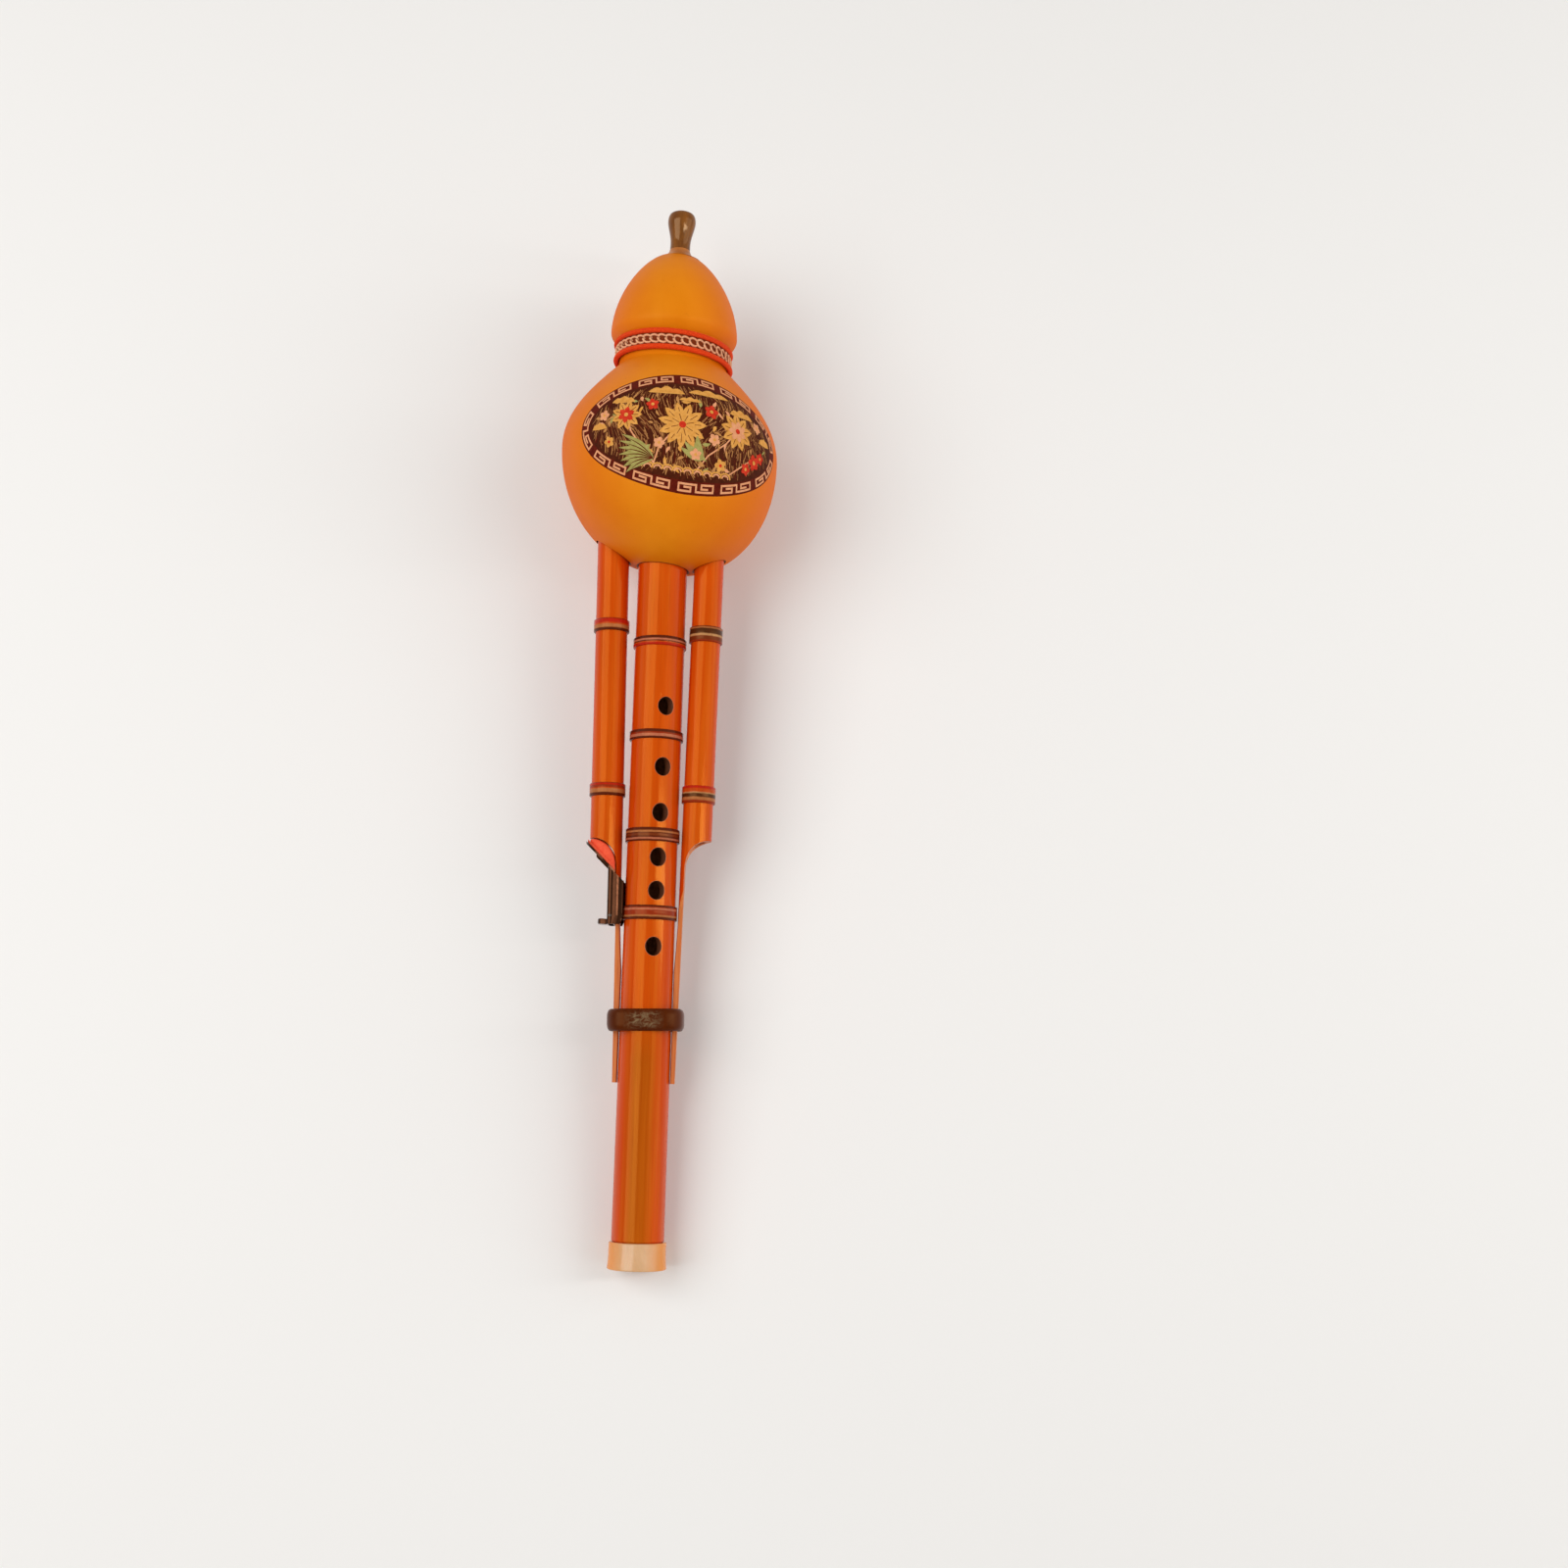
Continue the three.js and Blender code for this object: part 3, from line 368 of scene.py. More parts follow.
FIBRE = {"tint": (1, 1, 1), "noise": (2200, 2, 0.5, 0.03), "span": (0.35, 0.7)}
DRILLED = {"level": 0.2, "tint": (1, 1, 1), "noise": (900, 2, 0.5, 0.05), "span": (0, 1), "bump": 0}
WORN = {"level": 0.4, "noise": (1800, 2, 0.5), "span": (0.35, 0.7), "bump": 0}
STRANDS = {"level": 0.25, "tint": (1, 0.6, 0.4), "noise": (3200, 2, 0.6), "bump": 0.35}
STRANDS.update(Sheen_Weight=0.1, Sheen_Tint=(1, 0.5, 0.3, 1))

BAMBOO = lacquer_look("lacquered_bamboo")
MELODY = lacquer_look("lacquered_melody_pipe", 0.086)
BORE = grain_look("bore", (0.3, 0.11, 0.04), (0.5, 0.22, 0.09), 0.8)
RAW = grain_look("raw_bamboo", (0.6, 0.17, 0.05), (0.85, 0.36, 0.16), 0.5, **FIBRE)
TAIL_EDGE = grain_look("cut_bamboo", (0.56, 0.13, 0.02), (0.7, 0.21, 0.045), 0.35, bump=0.1, **FIBRE)
# The finger holes' walls are painted near black: painted shade inside the holes.
HOLE_SHADE = grain_look("hole_wall_shade", (0.055, 0.015, 0.005), (0.12, 0.035, 0.012), 0.6, **DRILLED)
RIM = grain_look("hole_rim", (0.42, 0.1, 0.035), (0.6, 0.19, 0.085), 0.35, **WORN)
GOURD_SKIN = gourd_look()
# Beeswax of the seals, darkened so that the same look on the gourd's holes round the pipes is painted shade in the
# gaps.
WAX_AND_SHADE = grain_look("beeswax", (0.12, 0.03, 0.01), (0.24, 0.08, 0.02), 0.5)
CORK = grain_look("cork", (0.22, 0.1, 0.04), (0.45, 0.26, 0.12), 0.9, noise=(700, 4, 0.6), bump=0.4)
BRASS = metal_look("brass", (0.78, 0.56, 0.22), 0.3)
STEEL = metal_look("steel", (0.6, 0.6, 0.62), 0.28)
NICKEL = metal_look("black_nickel", (0.056, 0.021, 0.01), 0.12)
BLUED = metal_look("blued_steel", (0.1, 0.075, 0.06), 0.25)
HORN = horn_look()
DARK_HORN = clasp_look()
GLUE = grain_look("amber_glue", (0.34, 0.1, 0.016), (0.5, 0.17, 0.035), 0.3, noise=(300, 4, 0.6), bump=0.1)
MILKY = ferrule_look()
RED_CORD = grain_look("red_cord", (0.62, 0.022, 0.002), (0.85, 0.08, 0.008), 0.75, **STRANDS)
PALE_CORD = grain_look("pale_chain", (0.72, 0.27, 0.12), (0.92, 0.55, 0.33), 0.5, **STRANDS)
DARK_CORD = grain_look("chain_ground", (0.12, 0.014, 0.002), (0.24, 0.035, 0.005), 0.75, **STRANDS)
PAD = grain_look("red_pad", (0.8, 0.07, 0.028), (0.9, 0.12, 0.05), 0.6, noise=(900, 4, 0.6))

# Meshes


def mesh_of(name, points, faces, looks, which=None, sharp=40):
    """A mesh from points in millimetres, smooth but for edges sharper than the angle."""
    mesh = bpy.data.meshes.new(name)
    mesh.from_pydata([(x * MM, y * MM, z * MM) for x, y, z in points], [], faces)
    for look in looks:
        mesh.materials.append(look)
    if which is not None:
        mesh.polygons.foreach_set("material_index", which)
    finish_mesh(mesh, sharp)
    return mesh


def finish_mesh(mesh, sharp):
    mesh.validate()
    mesh.shade_smooth()
    if sharp is not None:
        mesh.set_sharp_from_angle(angle=radians(sharp))
    mesh.update()


def piece(name, mesh, matrix, node=None, body="body"):
    """A piece laid in its place, whose points keep their own coordinates for its materials."""
    own = np.empty(3 * len(mesh.vertices), np.float32)
    mesh.vertices.foreach_get("co", own)
    mesh.attributes.new("place", "FLOAT_VECTOR", "POINT").data.foreach_set("vector", own)
    mesh.transform(matrix)
    mesh.update()
    made = bpy.data.objects.new(name, mesh)
    bpy.context.scene.collection.objects.link(made)
    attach(made, body)
    if node:
        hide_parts(node)
    return made


def net_piece(name, net, look, matrix, node, body="body", sharp=40):
    """A piece of one look, made from a net's points and faces."""
    return piece(name, mesh_of(name, *net, [look], sharp=sharp), matrix, node, body)


def turns(count):
    return [TAU * i / count for i in range(count)]


def grid(rows, closed_across=True, closed_along=False):
    """Points and faces of a net of rows that all have the same number of points."""
    count = len(rows[0])
    points = [point for row in rows for point in row]
    faces = []
    last = len(rows) if closed_along else len(rows) - 1
    for r in range(last):
        n = (r + 1) % len(rows)
        for i in range(count if closed_across else count - 1):
            j = (i + 1) % count
            faces.append((r * count + i, r * count + j, n * count + j, n * count + i))
    return points, faces


def capped(rows):
    """A net of closed rows, with flat faces over the first row and the last."""
    points, faces = grid(rows)
    count = len(rows[0])
    last = len(points) - count
    return points, faces + [tuple(range(count))[::-1], tuple(range(last, last + count))]


def flipped(net):
    points, faces = net
    return points, [face[::-1] for face in faces]


def joined(nets):
    points, faces = [], []
    for net_points, net_faces in nets:
        start = len(points)
        points += net_points
        faces += [tuple(start + i for i in face) for face in net_faces]
    return points, faces


def turned(outline, sides, closed=True):
    """Turned form from [radius, height] points. A closed one is a ring; else it has end caps."""
    rows = [[(r * sin(a), -r * cos(a), z) for a in turns(sides)] for r, z in outline]
    return grid(rows, True, True) if closed else capped(rows)


def bored(name, outline, sides, inner, looks):
    """A turned tube whose last rings of faces have the second look."""
    points, faces = turned(outline, sides)
    rest = inner * sides
    return mesh_of(name, points, faces, looks, [0] * (len(faces) - rest) + [1] * rest)


def rod(radius, low, high, sides=64):
    return turned([(radius, low), (radius, high)], sides, closed=False)


def box_net(x, y, z):
    points = [(a, b, c) for c in z for b in y for a in x]
    faces = [(0, 2, 3, 1), (4, 5, 7, 6), (0, 1, 5, 4), (2, 6, 7, 3), (0, 4, 6, 2), (1, 3, 7, 5)]
    return points, faces


def cut(mesh, cutters, sharp):
    """The mesh less the cutters, whose faces bring their own materials."""
    body = bpy.data.objects.new("cut_body", mesh)
    bpy.context.scene.collection.objects.link(body)
    tools = []
    for cutter in cutters:
        tool = bpy.data.objects.new("cutter", cutter)
        bpy.context.scene.collection.objects.link(tool)
        change = body.modifiers.new("cut", "BOOLEAN")
        change.operation = "DIFFERENCE"
        change.solver = "EXACT"
        change.object = tool
        change.material_mode = "TRANSFER"
        tools.append(tool)
    bpy.context.view_layer.update()
    depsgraph = bpy.context.evaluated_depsgraph_get()
    result = bpy.data.meshes.new_from_object(body.evaluated_get(depsgraph))
    result.name = mesh.name
    for thing in [body, *tools]:
        bpy.data.objects.remove(thing)
    finish_mesh(result, sharp)
    return result


def smooth_profile(shares, steps=5):
    """A Catmull-Rom line through [radius, height] shares."""
    made = []
    padded = [shares[0], *shares, shares[-1]]
    for a, b, c, d in zip(padded, padded[1:], padded[2:], padded[3:]):
        for k in range(steps):
            t = k / steps
            made.append(tuple(
                0.5 * (2 * b[n] + (c[n] - a[n]) * t + (2 * a[n] - 5 * b[n] + 4 * c[n] - d[n]) * t * t
                       + (3 * b[n] - a[n] - 3 * c[n] + d[n]) * t ** 3)
                for n in (0, 1)
            ))
    return made + [shares[-1]]


# Gourd


def gourd_heights(rows):
    under = [BULB_Z - BULB * cos(i / rows * pi / 2) for i in range(1, rows + 1)]
    shoulder = [BULB_Z + (WAIST_Z - BULB_Z) * i / rows for i in range(1, rows + 1)]
    waist = [WAIST_TOP + CROWN * i / 8 for i in range(0, 9)]
    dome = [CROWN_Z + DOME_TALL * sin(i / rows * pi / 2) for i in range(1, rows + 1)]
    return under + shoulder + waist + dome


def gourd_wall(inset, rows, sides):
    narrow = (BULB_R - inset) / BULB_R
    short = (GOURD - 2 * inset) / GOURD
    outline = [(0.6, PIPE)] + [(gourd_radius(z), z) for z in gourd_heights(rows)] + [(0.6, TOP)]
    outline = [(r * narrow, PIPE + inset + (z - PIPE) * short) for r, z in outline]
    points, faces = turned(outline, sides, False)
    return [grown(*point) for point in points], faces


def add_gourd():
    net = joined([gourd_wall(0, 44, 144), flipped(gourd_wall(WALL, 12, 48))])
    drills = [(MOUTH, 4.9, -13, 2)]
    low, high = PIPE - 5, BULB_Z - 2
    tubes = ((UPRIGHT, PIPE_TOP_R, 0), (LEFT, LEFT_R, TAIL_END), (RIGHT_DRONE, RIGHT_R, TAIL_END))
    for matrix, radius, base in tubes:
        drills.insert(-1, (matrix, radius + 0.75, low - base, high - base))
    cutters = []
    # The holes' walls take the dark wax look: painted shade in the gap round each pipe.
    for matrix, *size in drills:
        cutters.append(mesh_of("pipe_hole", *rod(*size), [WAX_AND_SHADE]))
        cutters[-1].transform(UPRIGHT.inverted() @ matrix)
    mesh = cut(mesh_of("gourd_skin", *net, [GOURD_SKIN], sharp=None), cutters, 50)
    piece("gourd_skin", mesh, UPRIGHT, "gourd")


add_gourd()

# Oval picture place on the gourd: meander border, hatched ground and plain flowers

OVAL_A, OVAL_B, OVAL_POWER = 45.5, 24, 1.9
OVAL_RISE, OVAL_TURN, OVAL_REACH = 45.6, 13, 42
BORDER = 4.7
INKS = (
    ("maroon", (0.075, 0.005, 0.002), (0.13, 0.01, 0.004)),
    ("brown", (0.045, 0.007, 0.002), (0.08, 0.013, 0.004)),
    ("hatch", (0.16, 0.05, 0.014), (0.24, 0.085, 0.025)),
    ("hatch_pale", (0.32, 0.125, 0.04), (0.42, 0.18, 0.06)),
    ("gold", (0.62, 0.26, 0.045), (0.78, 0.38, 0.09)),
    ("red", (0.5, 0.02, 0.008), (0.68, 0.05, 0.02)),
    ("green", (0.3, 0.25, 0.06), (0.42, 0.38, 0.12)),
    ("pink", (0.68, 0.27, 0.12), (0.82, 0.38, 0.19)),
    ("line", (0.44, 0.19, 0.06), (0.58, 0.27, 0.08)),
)
DARK_INK, BROWN_INK, HATCH_INK, PALE_INK, GOLD_INK, RED_INK, GREEN_INK, PINK_INK, LINE_INK = range(len(INKS))


def skin_point(s, t, lift):
    """A place on the gourd, s millimetres round it and t up it from the oval's middle."""
    z = PIPE + OVAL_RISE + t
    turn = radians(OVAL_TURN) + s / OVAL_REACH
    step = 0.2
    radius = gourd_radius(z)
    slope = (gourd_radius(z + step) - gourd_radius(z - step)) / (2 * step)
    length = hypot(1, slope)
    out = radius + lift / length
    rise = z - lift * slope / length
    return grown(out * sin(turn), -out * cos(turn), rise)


class Decor:
    """Thin flat shapes laid on the gourd, sorted by colour."""

    def __init__(self):
        self.points, self.faces, self.which = [], [], []

    def net(self, rows, lift, colour, closed=False):
        points, faces = grid([[skin_point(s, t, lift) for s, t in row] for row in rows], closed)
        start = len(self.points)
        self.points += points
        self.faces += [tuple(start + i for i in face) for face in faces]
        self.which += [colour] * len(faces)

    def stroke(self, line, width, lift, colour, step=1.4):
        for (x0, y0), (x1, y1) in zip(line[:-1], line[1:]):
            length = hypot(x1 - x0, y1 - y0)
            if length == 0:
                continue
            dx, dy = (x1 - x0) / length, (y1 - y0) / length
            nx, ny = -dy * width / 2, dx * width / 2
            x0, y0 = x0 - dx * width / 2, y0 - dy * width / 2
            length += width
            count = max(1, round(length / step))
            rows = []
            for i in range(count + 1):
                x, y = x0 + dx * length * i / count, y0 + dy * length * i / count
                rows.append([(x - nx, y - ny), (x + nx, y + ny)])
            self.net(rows, lift, colour)

    def leaf(self, x, y, turn, length, width, lift, colour, bend=0.0, blunt=0.75):
        rows = []
        count = max(4, round(length / 1.3))
        for i in range(count + 1):
            k = i / count
            half = width / 2 * max(sin(pi * k ** blunt), 0.02)
            angle = turn + bend * k
            cx, cy = x + length * k * cos(angle), y + length * k * sin(angle)
            px, py = -sin(turn + 2 * bend * k), cos(turn + 2 * bend * k)
            rows.append([(cx + half * q * px, cy + half * q * py) for q in (-1, -1 / 3, 1 / 3, 1)])
        self.net(rows, lift, colour)

    def disc(self, x, y, radius, lift, colour):
        rows = [[(x + radius * k * cos(a), y + radius * k * sin(a)) for a in turns(14)] for k in (0.02, 0.5, 1)]
        self.net(rows, lift, colour, True)

    def flower(self, x, y, radius, petals, lift, colour, heart, turn, vein=None):
        for i in range(petals):
            angle = turn + TAU * i / petals
            size = TAU * radius * 0.62 / petals
            self.leaf(x, y, angle, radius, size, lift, colour, 0.0, 1.35)
            if vein is not None:
                start, end = 0.3 * radius, 0.75 * radius
                line = [(x + q * cos(angle), y + q * sin(angle)) for q in (start, end)]
                self.stroke(line, 0.22, lift + 0.03, vein)
        self.disc(x, y, radius * 0.24, lift + 0.05, heart)

    def cloud(self, x, y, width, height, lift, colour):
        rows = []
        count = max(8, round(width))
        for i in range(count + 1):
            k = i / count
            body = sin(pi * k) ** 0.6
            top = height * body * (0.62 + 0.38 * abs(sin(3 * pi * k)))
            low = -0.12 * height * body
            rows.append([(x + width * (k - 0.5), y + low + (top - low) * q) for q in (0, 1 / 3, 2 / 3, 1)])
        self.net(rows, lift, colour)


def oval(a, b, turn):
    x, y = cos(turn), sin(turn)
    power = 2 / OVAL_POWER
    return a * copysign(abs(x) ** power, x), b * copysign(abs(y) ** power, y)


def inside_oval(x, y, inset):
    a, b = OVAL_A - inset, OVAL_B - inset
    return abs(x / a) ** OVAL_POWER + abs(y / b) ** OVAL_POWER < 1


def track(inset):
    """The oval's line at an inset, as even steps of length with its outward direction."""
    count = 1440
    line = [oval(OVAL_A - inset, OVAL_B - inset, TAU * i / count) for i in range(count + 1)]
    run = [0.0]
    for (x0, y0), (x1, y1) in zip(line[:-1], line[1:]):
        run.append(run[-1] + hypot(x1 - x0, y1 - y0))
    xs, ys = np.array(line).T

    def at(length, out):
        length = length % run[-1]
        x, y = np.interp(length, run, xs), np.interp(length, run, ys)
        far, near = (length + 0.6) % run[-1], (length - 0.6) % run[-1]
        dx = np.interp(far, run, xs) - np.interp(near, run, xs)
        dy = np.interp(far, run, ys) - np.interp(near, run, ys)
        size = hypot(dx, dy)
        return x + out * dy / size, y - out * dx / size

    return at, run[-1]


MEANDER = [
    (0.2, 0.44), (0.36, 0.44), (0.36, 0.9), (0.05, 0.9), (0.05, 0.1), (0.5, 0.1),
    (0.5, 0.9), (0.95, 0.9), (0.95, 0.1), (0.64, 0.1), (0.64, 0.56), (0.8, 0.56),
]


def add_border(decor, colour):
    at, total = track(BORDER / 2 + 0.1)
    units = 11
    unit = total / units
    height = 3.1
    half = 0.37
    for n in range(units):
        line = [((n + 0.06 + 0.88 * x) * unit, (y - 0.5) * height) for x, y in MEANDER]
        for (x0, y0), (x1, y1) in zip(line[:-1], line[1:]):
            count = max(1, round((abs(x1 - x0) + abs(y1 - y0)) / 1.2))
            along = x1 != x0
            sign = copysign(half, x1 - x0 if along else y1 - y0)
            rows = []
            for i in range(count + 1):
                k = i / count
                x, y = x0 + (x1 - x0) * k, y0 + (y1 - y0) * k
                reach = -sign if i == 0 else sign if i == count else 0
                if along:
                    rows.append([at(x + reach, y - half), at(x + reach, y + half)])
                else:
                    rows.append([at(x - half, y + reach), at(x + half, y + reach)])
            decor.net(rows, 0.13, colour)


def add_hatching(decor, chance):
    for _ in range(2400):
        x, y = chance.uniform(-OVAL_A, OVAL_A), chance.uniform(-OVAL_B, OVAL_B)
        lean = 0.9 * sin(0.11 * x + 0.5) * cos(0.17 * y) + chance.uniform(-0.25, 0.25)
        length = chance.uniform(1.4, 4.4)
        end = (x + length * sin(lean), y + length * cos(lean))
        if inside_oval(x, y, BORDER + 0.6) and inside_oval(*end, BORDER + 0.6):
            lift = 0.085 + 0.03 * chance.random()
            width = chance.uniform(0.16, 0.34)
            inks = (HATCH_INK, HATCH_INK, PALE_INK, PALE_INK, LINE_INK, DARK_INK)
            decor.stroke([(x, y), end], width, lift, chance.choice(inks))


def add_flowers(decor, chance):
    gold, red, green, pink, dark = GOLD_INK, RED_INK, GREEN_INK, PINK_INK, DARK_INK
    for _ in range(150):
        x, y = chance.uniform(-OVAL_A, OVAL_A), chance.uniform(-OVAL_B, OVAL_B)
        if inside_oval(x, y, BORDER + 3.4):
            turn = chance.uniform(0, TAU)
            length = chance.uniform(2.2, 4)
            lift = 0.125 + 0.02 * chance.random()
            width = chance.uniform(0.8, 1.5)
            ink = chance.choice((LINE_INK, LINE_INK, gold, green, pink))
            decor.leaf(x, y, turn, length, width, lift, ink, 0.4)
    for x, y, width, height in (
        (-9, 14.2, 15, 3.2), (9, 15.2, 18, 2.6), (23, 9.6, 12, 3), (-26, 9.8, 10, 2.8),
        (-35.5, -0.5, 7, 2.6), (35.5, 2, 7.5, 2.8), (0.5, 11.4, 9, 1.8),
    ):
        decor.cloud(x, y, width, height, 0.15, gold)
    stems = (
        [(-13, -14), (-11, -8), (-7, -3), (-3, 0)],
        [(4, -15), (8, -9), (15, -3), (19, 2)],
        [(-13, -14), (-18, -8), (-22, -2), (-23, 3)],
        [(18, -14), (24, -9), (28, -6)],
    )
    for stem in stems:
        decor.stroke(stem, 0.55, 0.13, pink)
    for i in range(7):
        turn, length = radians(128 + 10 * i), 15.5 - 0.5 * i
        decor.leaf(-13, -12.5, turn, length, 2.6, 0.15 + 0.006 * i, green, 0.28)
        decor.leaf(-13, -12.5, turn, length - 1.5, 0.4, 0.2, dark, 0.3)
    for i in range(4):
        decor.leaf(6, -11, radians(172 - 17 * i), 10, 2.7, 0.15 + 0.006 * i, green, -0.25)
    for flower in (
        (-2.5, 1.2, 9.2, 11, 0.17, gold, dark, 0.1, dark), (-2.5, 1.2, 5.6, 8, 0.23, gold, red, 0.3, dark),
        (20, 3, 7.4, 9, 0.17, gold, dark, 0.2, dark), (20, 3, 4.2, 7, 0.23, pink, red, 0.5),
        (-24, 4.2, 6.2, 9, 0.17, gold, dark, 0.0, dark), (-24, 4.2, 3.4, 6, 0.23, red, gold, 0.4),
    ):
        decor.flower(*flower)
    for x, y, size, colour in (
        (8.8, 8.2, 3, red), (-14, 8.6, 2.6, red), (29.5, -6.5, 3.2, red), (25.5, -10, 2.5, red),
        (33, -4, 2.4, red), (10, -2.6, 2.5, pink), (-33.5, 4.6, 2.4, pink), (31, 7.4, 2.4, pink),
        (-11, -6.5, 2.3, pink), (13.5, -11.6, 2.6, gold), (-31, -6, 2.3, gold), (3, -9.4, 2.4, pink),
    ):
        decor.flower(x, y, size, 5, 0.2, colour, gold if colour != gold else red, chance.uniform(0, 1))
    for i in range(9):
        x = -15.5 + 4 * i
        y = -16.4 + 0.0035 * (x - 2) ** 2
        for size, colour in ((2.3, gold), (1.3, pink)):
            bow = np.linspace(0.1, pi - 0.1, 7)
            arc = [(x + size * cos(a), y + size * 0.75 * sin(a)) for a in bow]
            decor.stroke(arc, 0.55, 0.16, colour)


def add_decor():
    chance = random.Random(7)
    decor = Decor()
    for inset, lift, colour, rings in ((0, 0.05, DARK_INK, 26), (BORDER, 0.07, BROWN_INK, 24)):
        a, b = OVAL_A - inset, OVAL_B - inset
        rows = [[oval(a * k, b * k, turn) for turn in turns(144)] for k in np.linspace(0.02, 1, rings)]
        decor.net(rows, lift, colour, True)
    add_border(decor, PINK_INK)
    add_hatching(decor, chance)
    add_flowers(decor, chance)
    looks = []
    for name, low, high in INKS:
        looks.append(grain_look(f"decor_{name}", low, high, 0.6, 0.08, noise=(700, 4, 0.6), bump=0.05))
    mesh = mesh_of("gourd_picture", decor.points, decor.faces, looks, decor.which, sharp=None)
    piece("gourd_picture", mesh, UPRIGHT)


add_decor()

# Waist wrapping: twisted red cords with a chain of pale loops between them

WAIST_MIDDLE = WAIST_Z + WAIST_BAND / 2


def swept(path, radius, sides, closed):
    """A round tube along a path of points, its sections turned by a nearly upright line."""
    post = Vector((0.13, 0.07, 1))
    rows = []
    count = len(path)
    path = [Vector(p) for p in path]
    for i, point in enumerate(path):
        ahead = path[(i + 1) % count] if closed or i + 1 < count else point
        behind = path[i - 1] if closed or i else point
        along = (ahead - behind).normalized()
        side = along.cross(post).normalized()
        up = side.cross(along)
        rows.append([tuple(point + radius * (cos(a) * side + sin(a) * up)) for a in turns(sides)])
    return grid(rows, True, True) if closed else capped(rows)


def waist_point(radius, turn, z):
    """A place on the wrapping, which sits a little higher on the key's side."""
    x = radius * sin(turn)
    return grown(x, -radius * cos(turn), z + 0.75 - 0.034 * x)


def twisted_cord(level, radius):
    nets = []
    lays, steps = 40, 12
    strand = 0.56 * radius
    for first in (0, pi, pi / 2, -pi / 2):
        path = []
        for turn in turns(lays * steps):
            lay = first + lays * turn
            ring = WAIST_R + CLEARANCE + radius + 0.5 * radius * cos(lay)
            path.append(waist_point(ring, turn, level + 0.5 * radius * sin(lay)))
        nets.append(swept(path, strand, 6, True))
    return joined(nets)


def chain_loops():
    nets = []
    for middle in turns(46):
        path = []
        for angle in turns(16):
            rise = 1.55 * sin(angle)
            turn = middle + (1.8 * cos(angle) - 0.15 * rise) / 22.5
            path.append(waist_point(WAIST_R + 1.15 - 0.4 * cos(angle), turn, WAIST_MIDDLE + rise))
        nets.append(swept(path, 0.45, 6, True))
    return joined(nets)


def add_waist():
    for name, node, level in (("lower_cord", "waist_cord_lower", -3.25), ("upper_cord", "waist_cord_upper", 3.25)):
        net_piece(name, twisted_cord(WAIST_MIDDLE + level, 1.02), RED_CORD, UPRIGHT, node)
    net_piece("chain_loops", chain_loops(), PALE_CORD, UPRIGHT, "waist_chain", sharp=None)
    inner, outer, half, edge = WAIST_R + CLEARANCE, WAIST_R + 1.1, 2.15, 0.3
    ring = [(inner, -half), (outer - edge, -half), (outer, edge - half)]
    ring += [(r, -z) for r, z in ring[::-1]]
    rows = [[waist_point(r, turn, WAIST_MIDDLE + z) for turn in turns(144)] for r, z in ring]
    net_piece("chain_ground", grid(rows, True, True), DARK_CORD, UPRIGHT, "waist_chain")


add_waist()

# Mouthpiece and the glue round its foot

MOUTH_SHARES = [
    (0.76, 0), (0.73, 0.14), (0.72, 0.3), (0.75, 0.42), (0.83, 0.54), (0.93, 0.66),
    (1, 0.77), (0.99, 0.87), (0.9, 0.945), (0.72, 0.985), (0.52, 1),
]


def add_mouthpiece():
    base = CLEARANCE + MOUTH_R * sin(radians(MOUTH_LEAN))
    tall, bore, tenon = 19.4, 2.25, 4.0
    profile = [(MOUTH_R * r, base + tall * z) for r, z in smooth_profile(MOUTH_SHARES)]
    lip = [(bore + 0.35, base + tall), (bore, base + tall - 0.4)]
    horn = turned([(bore, -10), (tenon, -10), (tenon, base)] + profile + lip, 72)
    net_piece("mouthpiece_horn", horn, HORN, MOUTH, "mouthpiece", sharp=50)
    inner, reach = 0.74 * MOUTH_R, 9
    low = -0.028 * DOME_TALL - 0.2
    climb = 2.9 + base - low
    fillet = [(inner, low)]
    for k in np.linspace(0, pi / 2, 12):
        flare = (1 - sin(k)) ** 0.75
        fillet.append((inner + (reach - inner) * flare, low + 0.35 * sin(k) + climb * (1 - cos(k))))
    net_piece("mouthpiece_glue", turned(fillet, 72), GLUE, MOUTH, "mouthpiece_seal", sharp=60)


add_mouthpiece()

# Melody pipe with its holes, which are placed by their share of its visible length

HOLES = [0.4472, 0.5265, 0.5741, 0.6381, 0.7044, 0.7929]
THUMB_HOLE, CORD_HOLES = 0.865, 0.17


def hole_cutter(turn, z, width, height):
    """A drill that follows the pipe's round face and opens out into a worn rim."""
    radius = pipe_radius(z)
    sides = 40
    drill = [(BORE_R - 1.5, 0), (radius - 0.35, 0), (radius - 0.1, 0.1), (radius + 0.05, 0.3), (radius + 1.5, 0.36)]
    rows = []
    for reach, flare in drill:
        row = []
        for angle in turns(sides):
            across = turn + (width / 2 + flare) * cos(angle) / radius
            row.append((reach * sin(across), -reach * cos(across), z + (height / 2 + flare) * sin(angle)))
        rows.append(row)
    # The hole's wall takes the near-black look, painted shade inside the hole; the worn rim keeps the raw bamboo
    # look.
    wall, worn = [1] * sides, [0] * sides
    return mesh_of("finger_hole", *capped(rows), [RIM, HOLE_SHADE], wall + wall + worn + worn + [1, 0])


def reed_cutters(radius, level):
    """The filed flat that carries a reed's plate, and the window under its tongue."""
    def across(middle, length):
        return middle - length / 2, middle + length / 2

    plate, tongue = 2.3 * radius + 4 * CLEARANCE, 1.55 * radius + 4 * CLEARANCE
    flat = box_net(across(0, 4 * radius), across(-1.35 * radius, radius), across(level, plate))
    wide = across(0, 0.34 * radius + 2 * CLEARANCE)
    window = box_net(wide, across(0.45 - radius, radius), across(level, tongue))
    return [mesh_of("reed_cutter", *net, [RAW]) for net in (flat, window)]


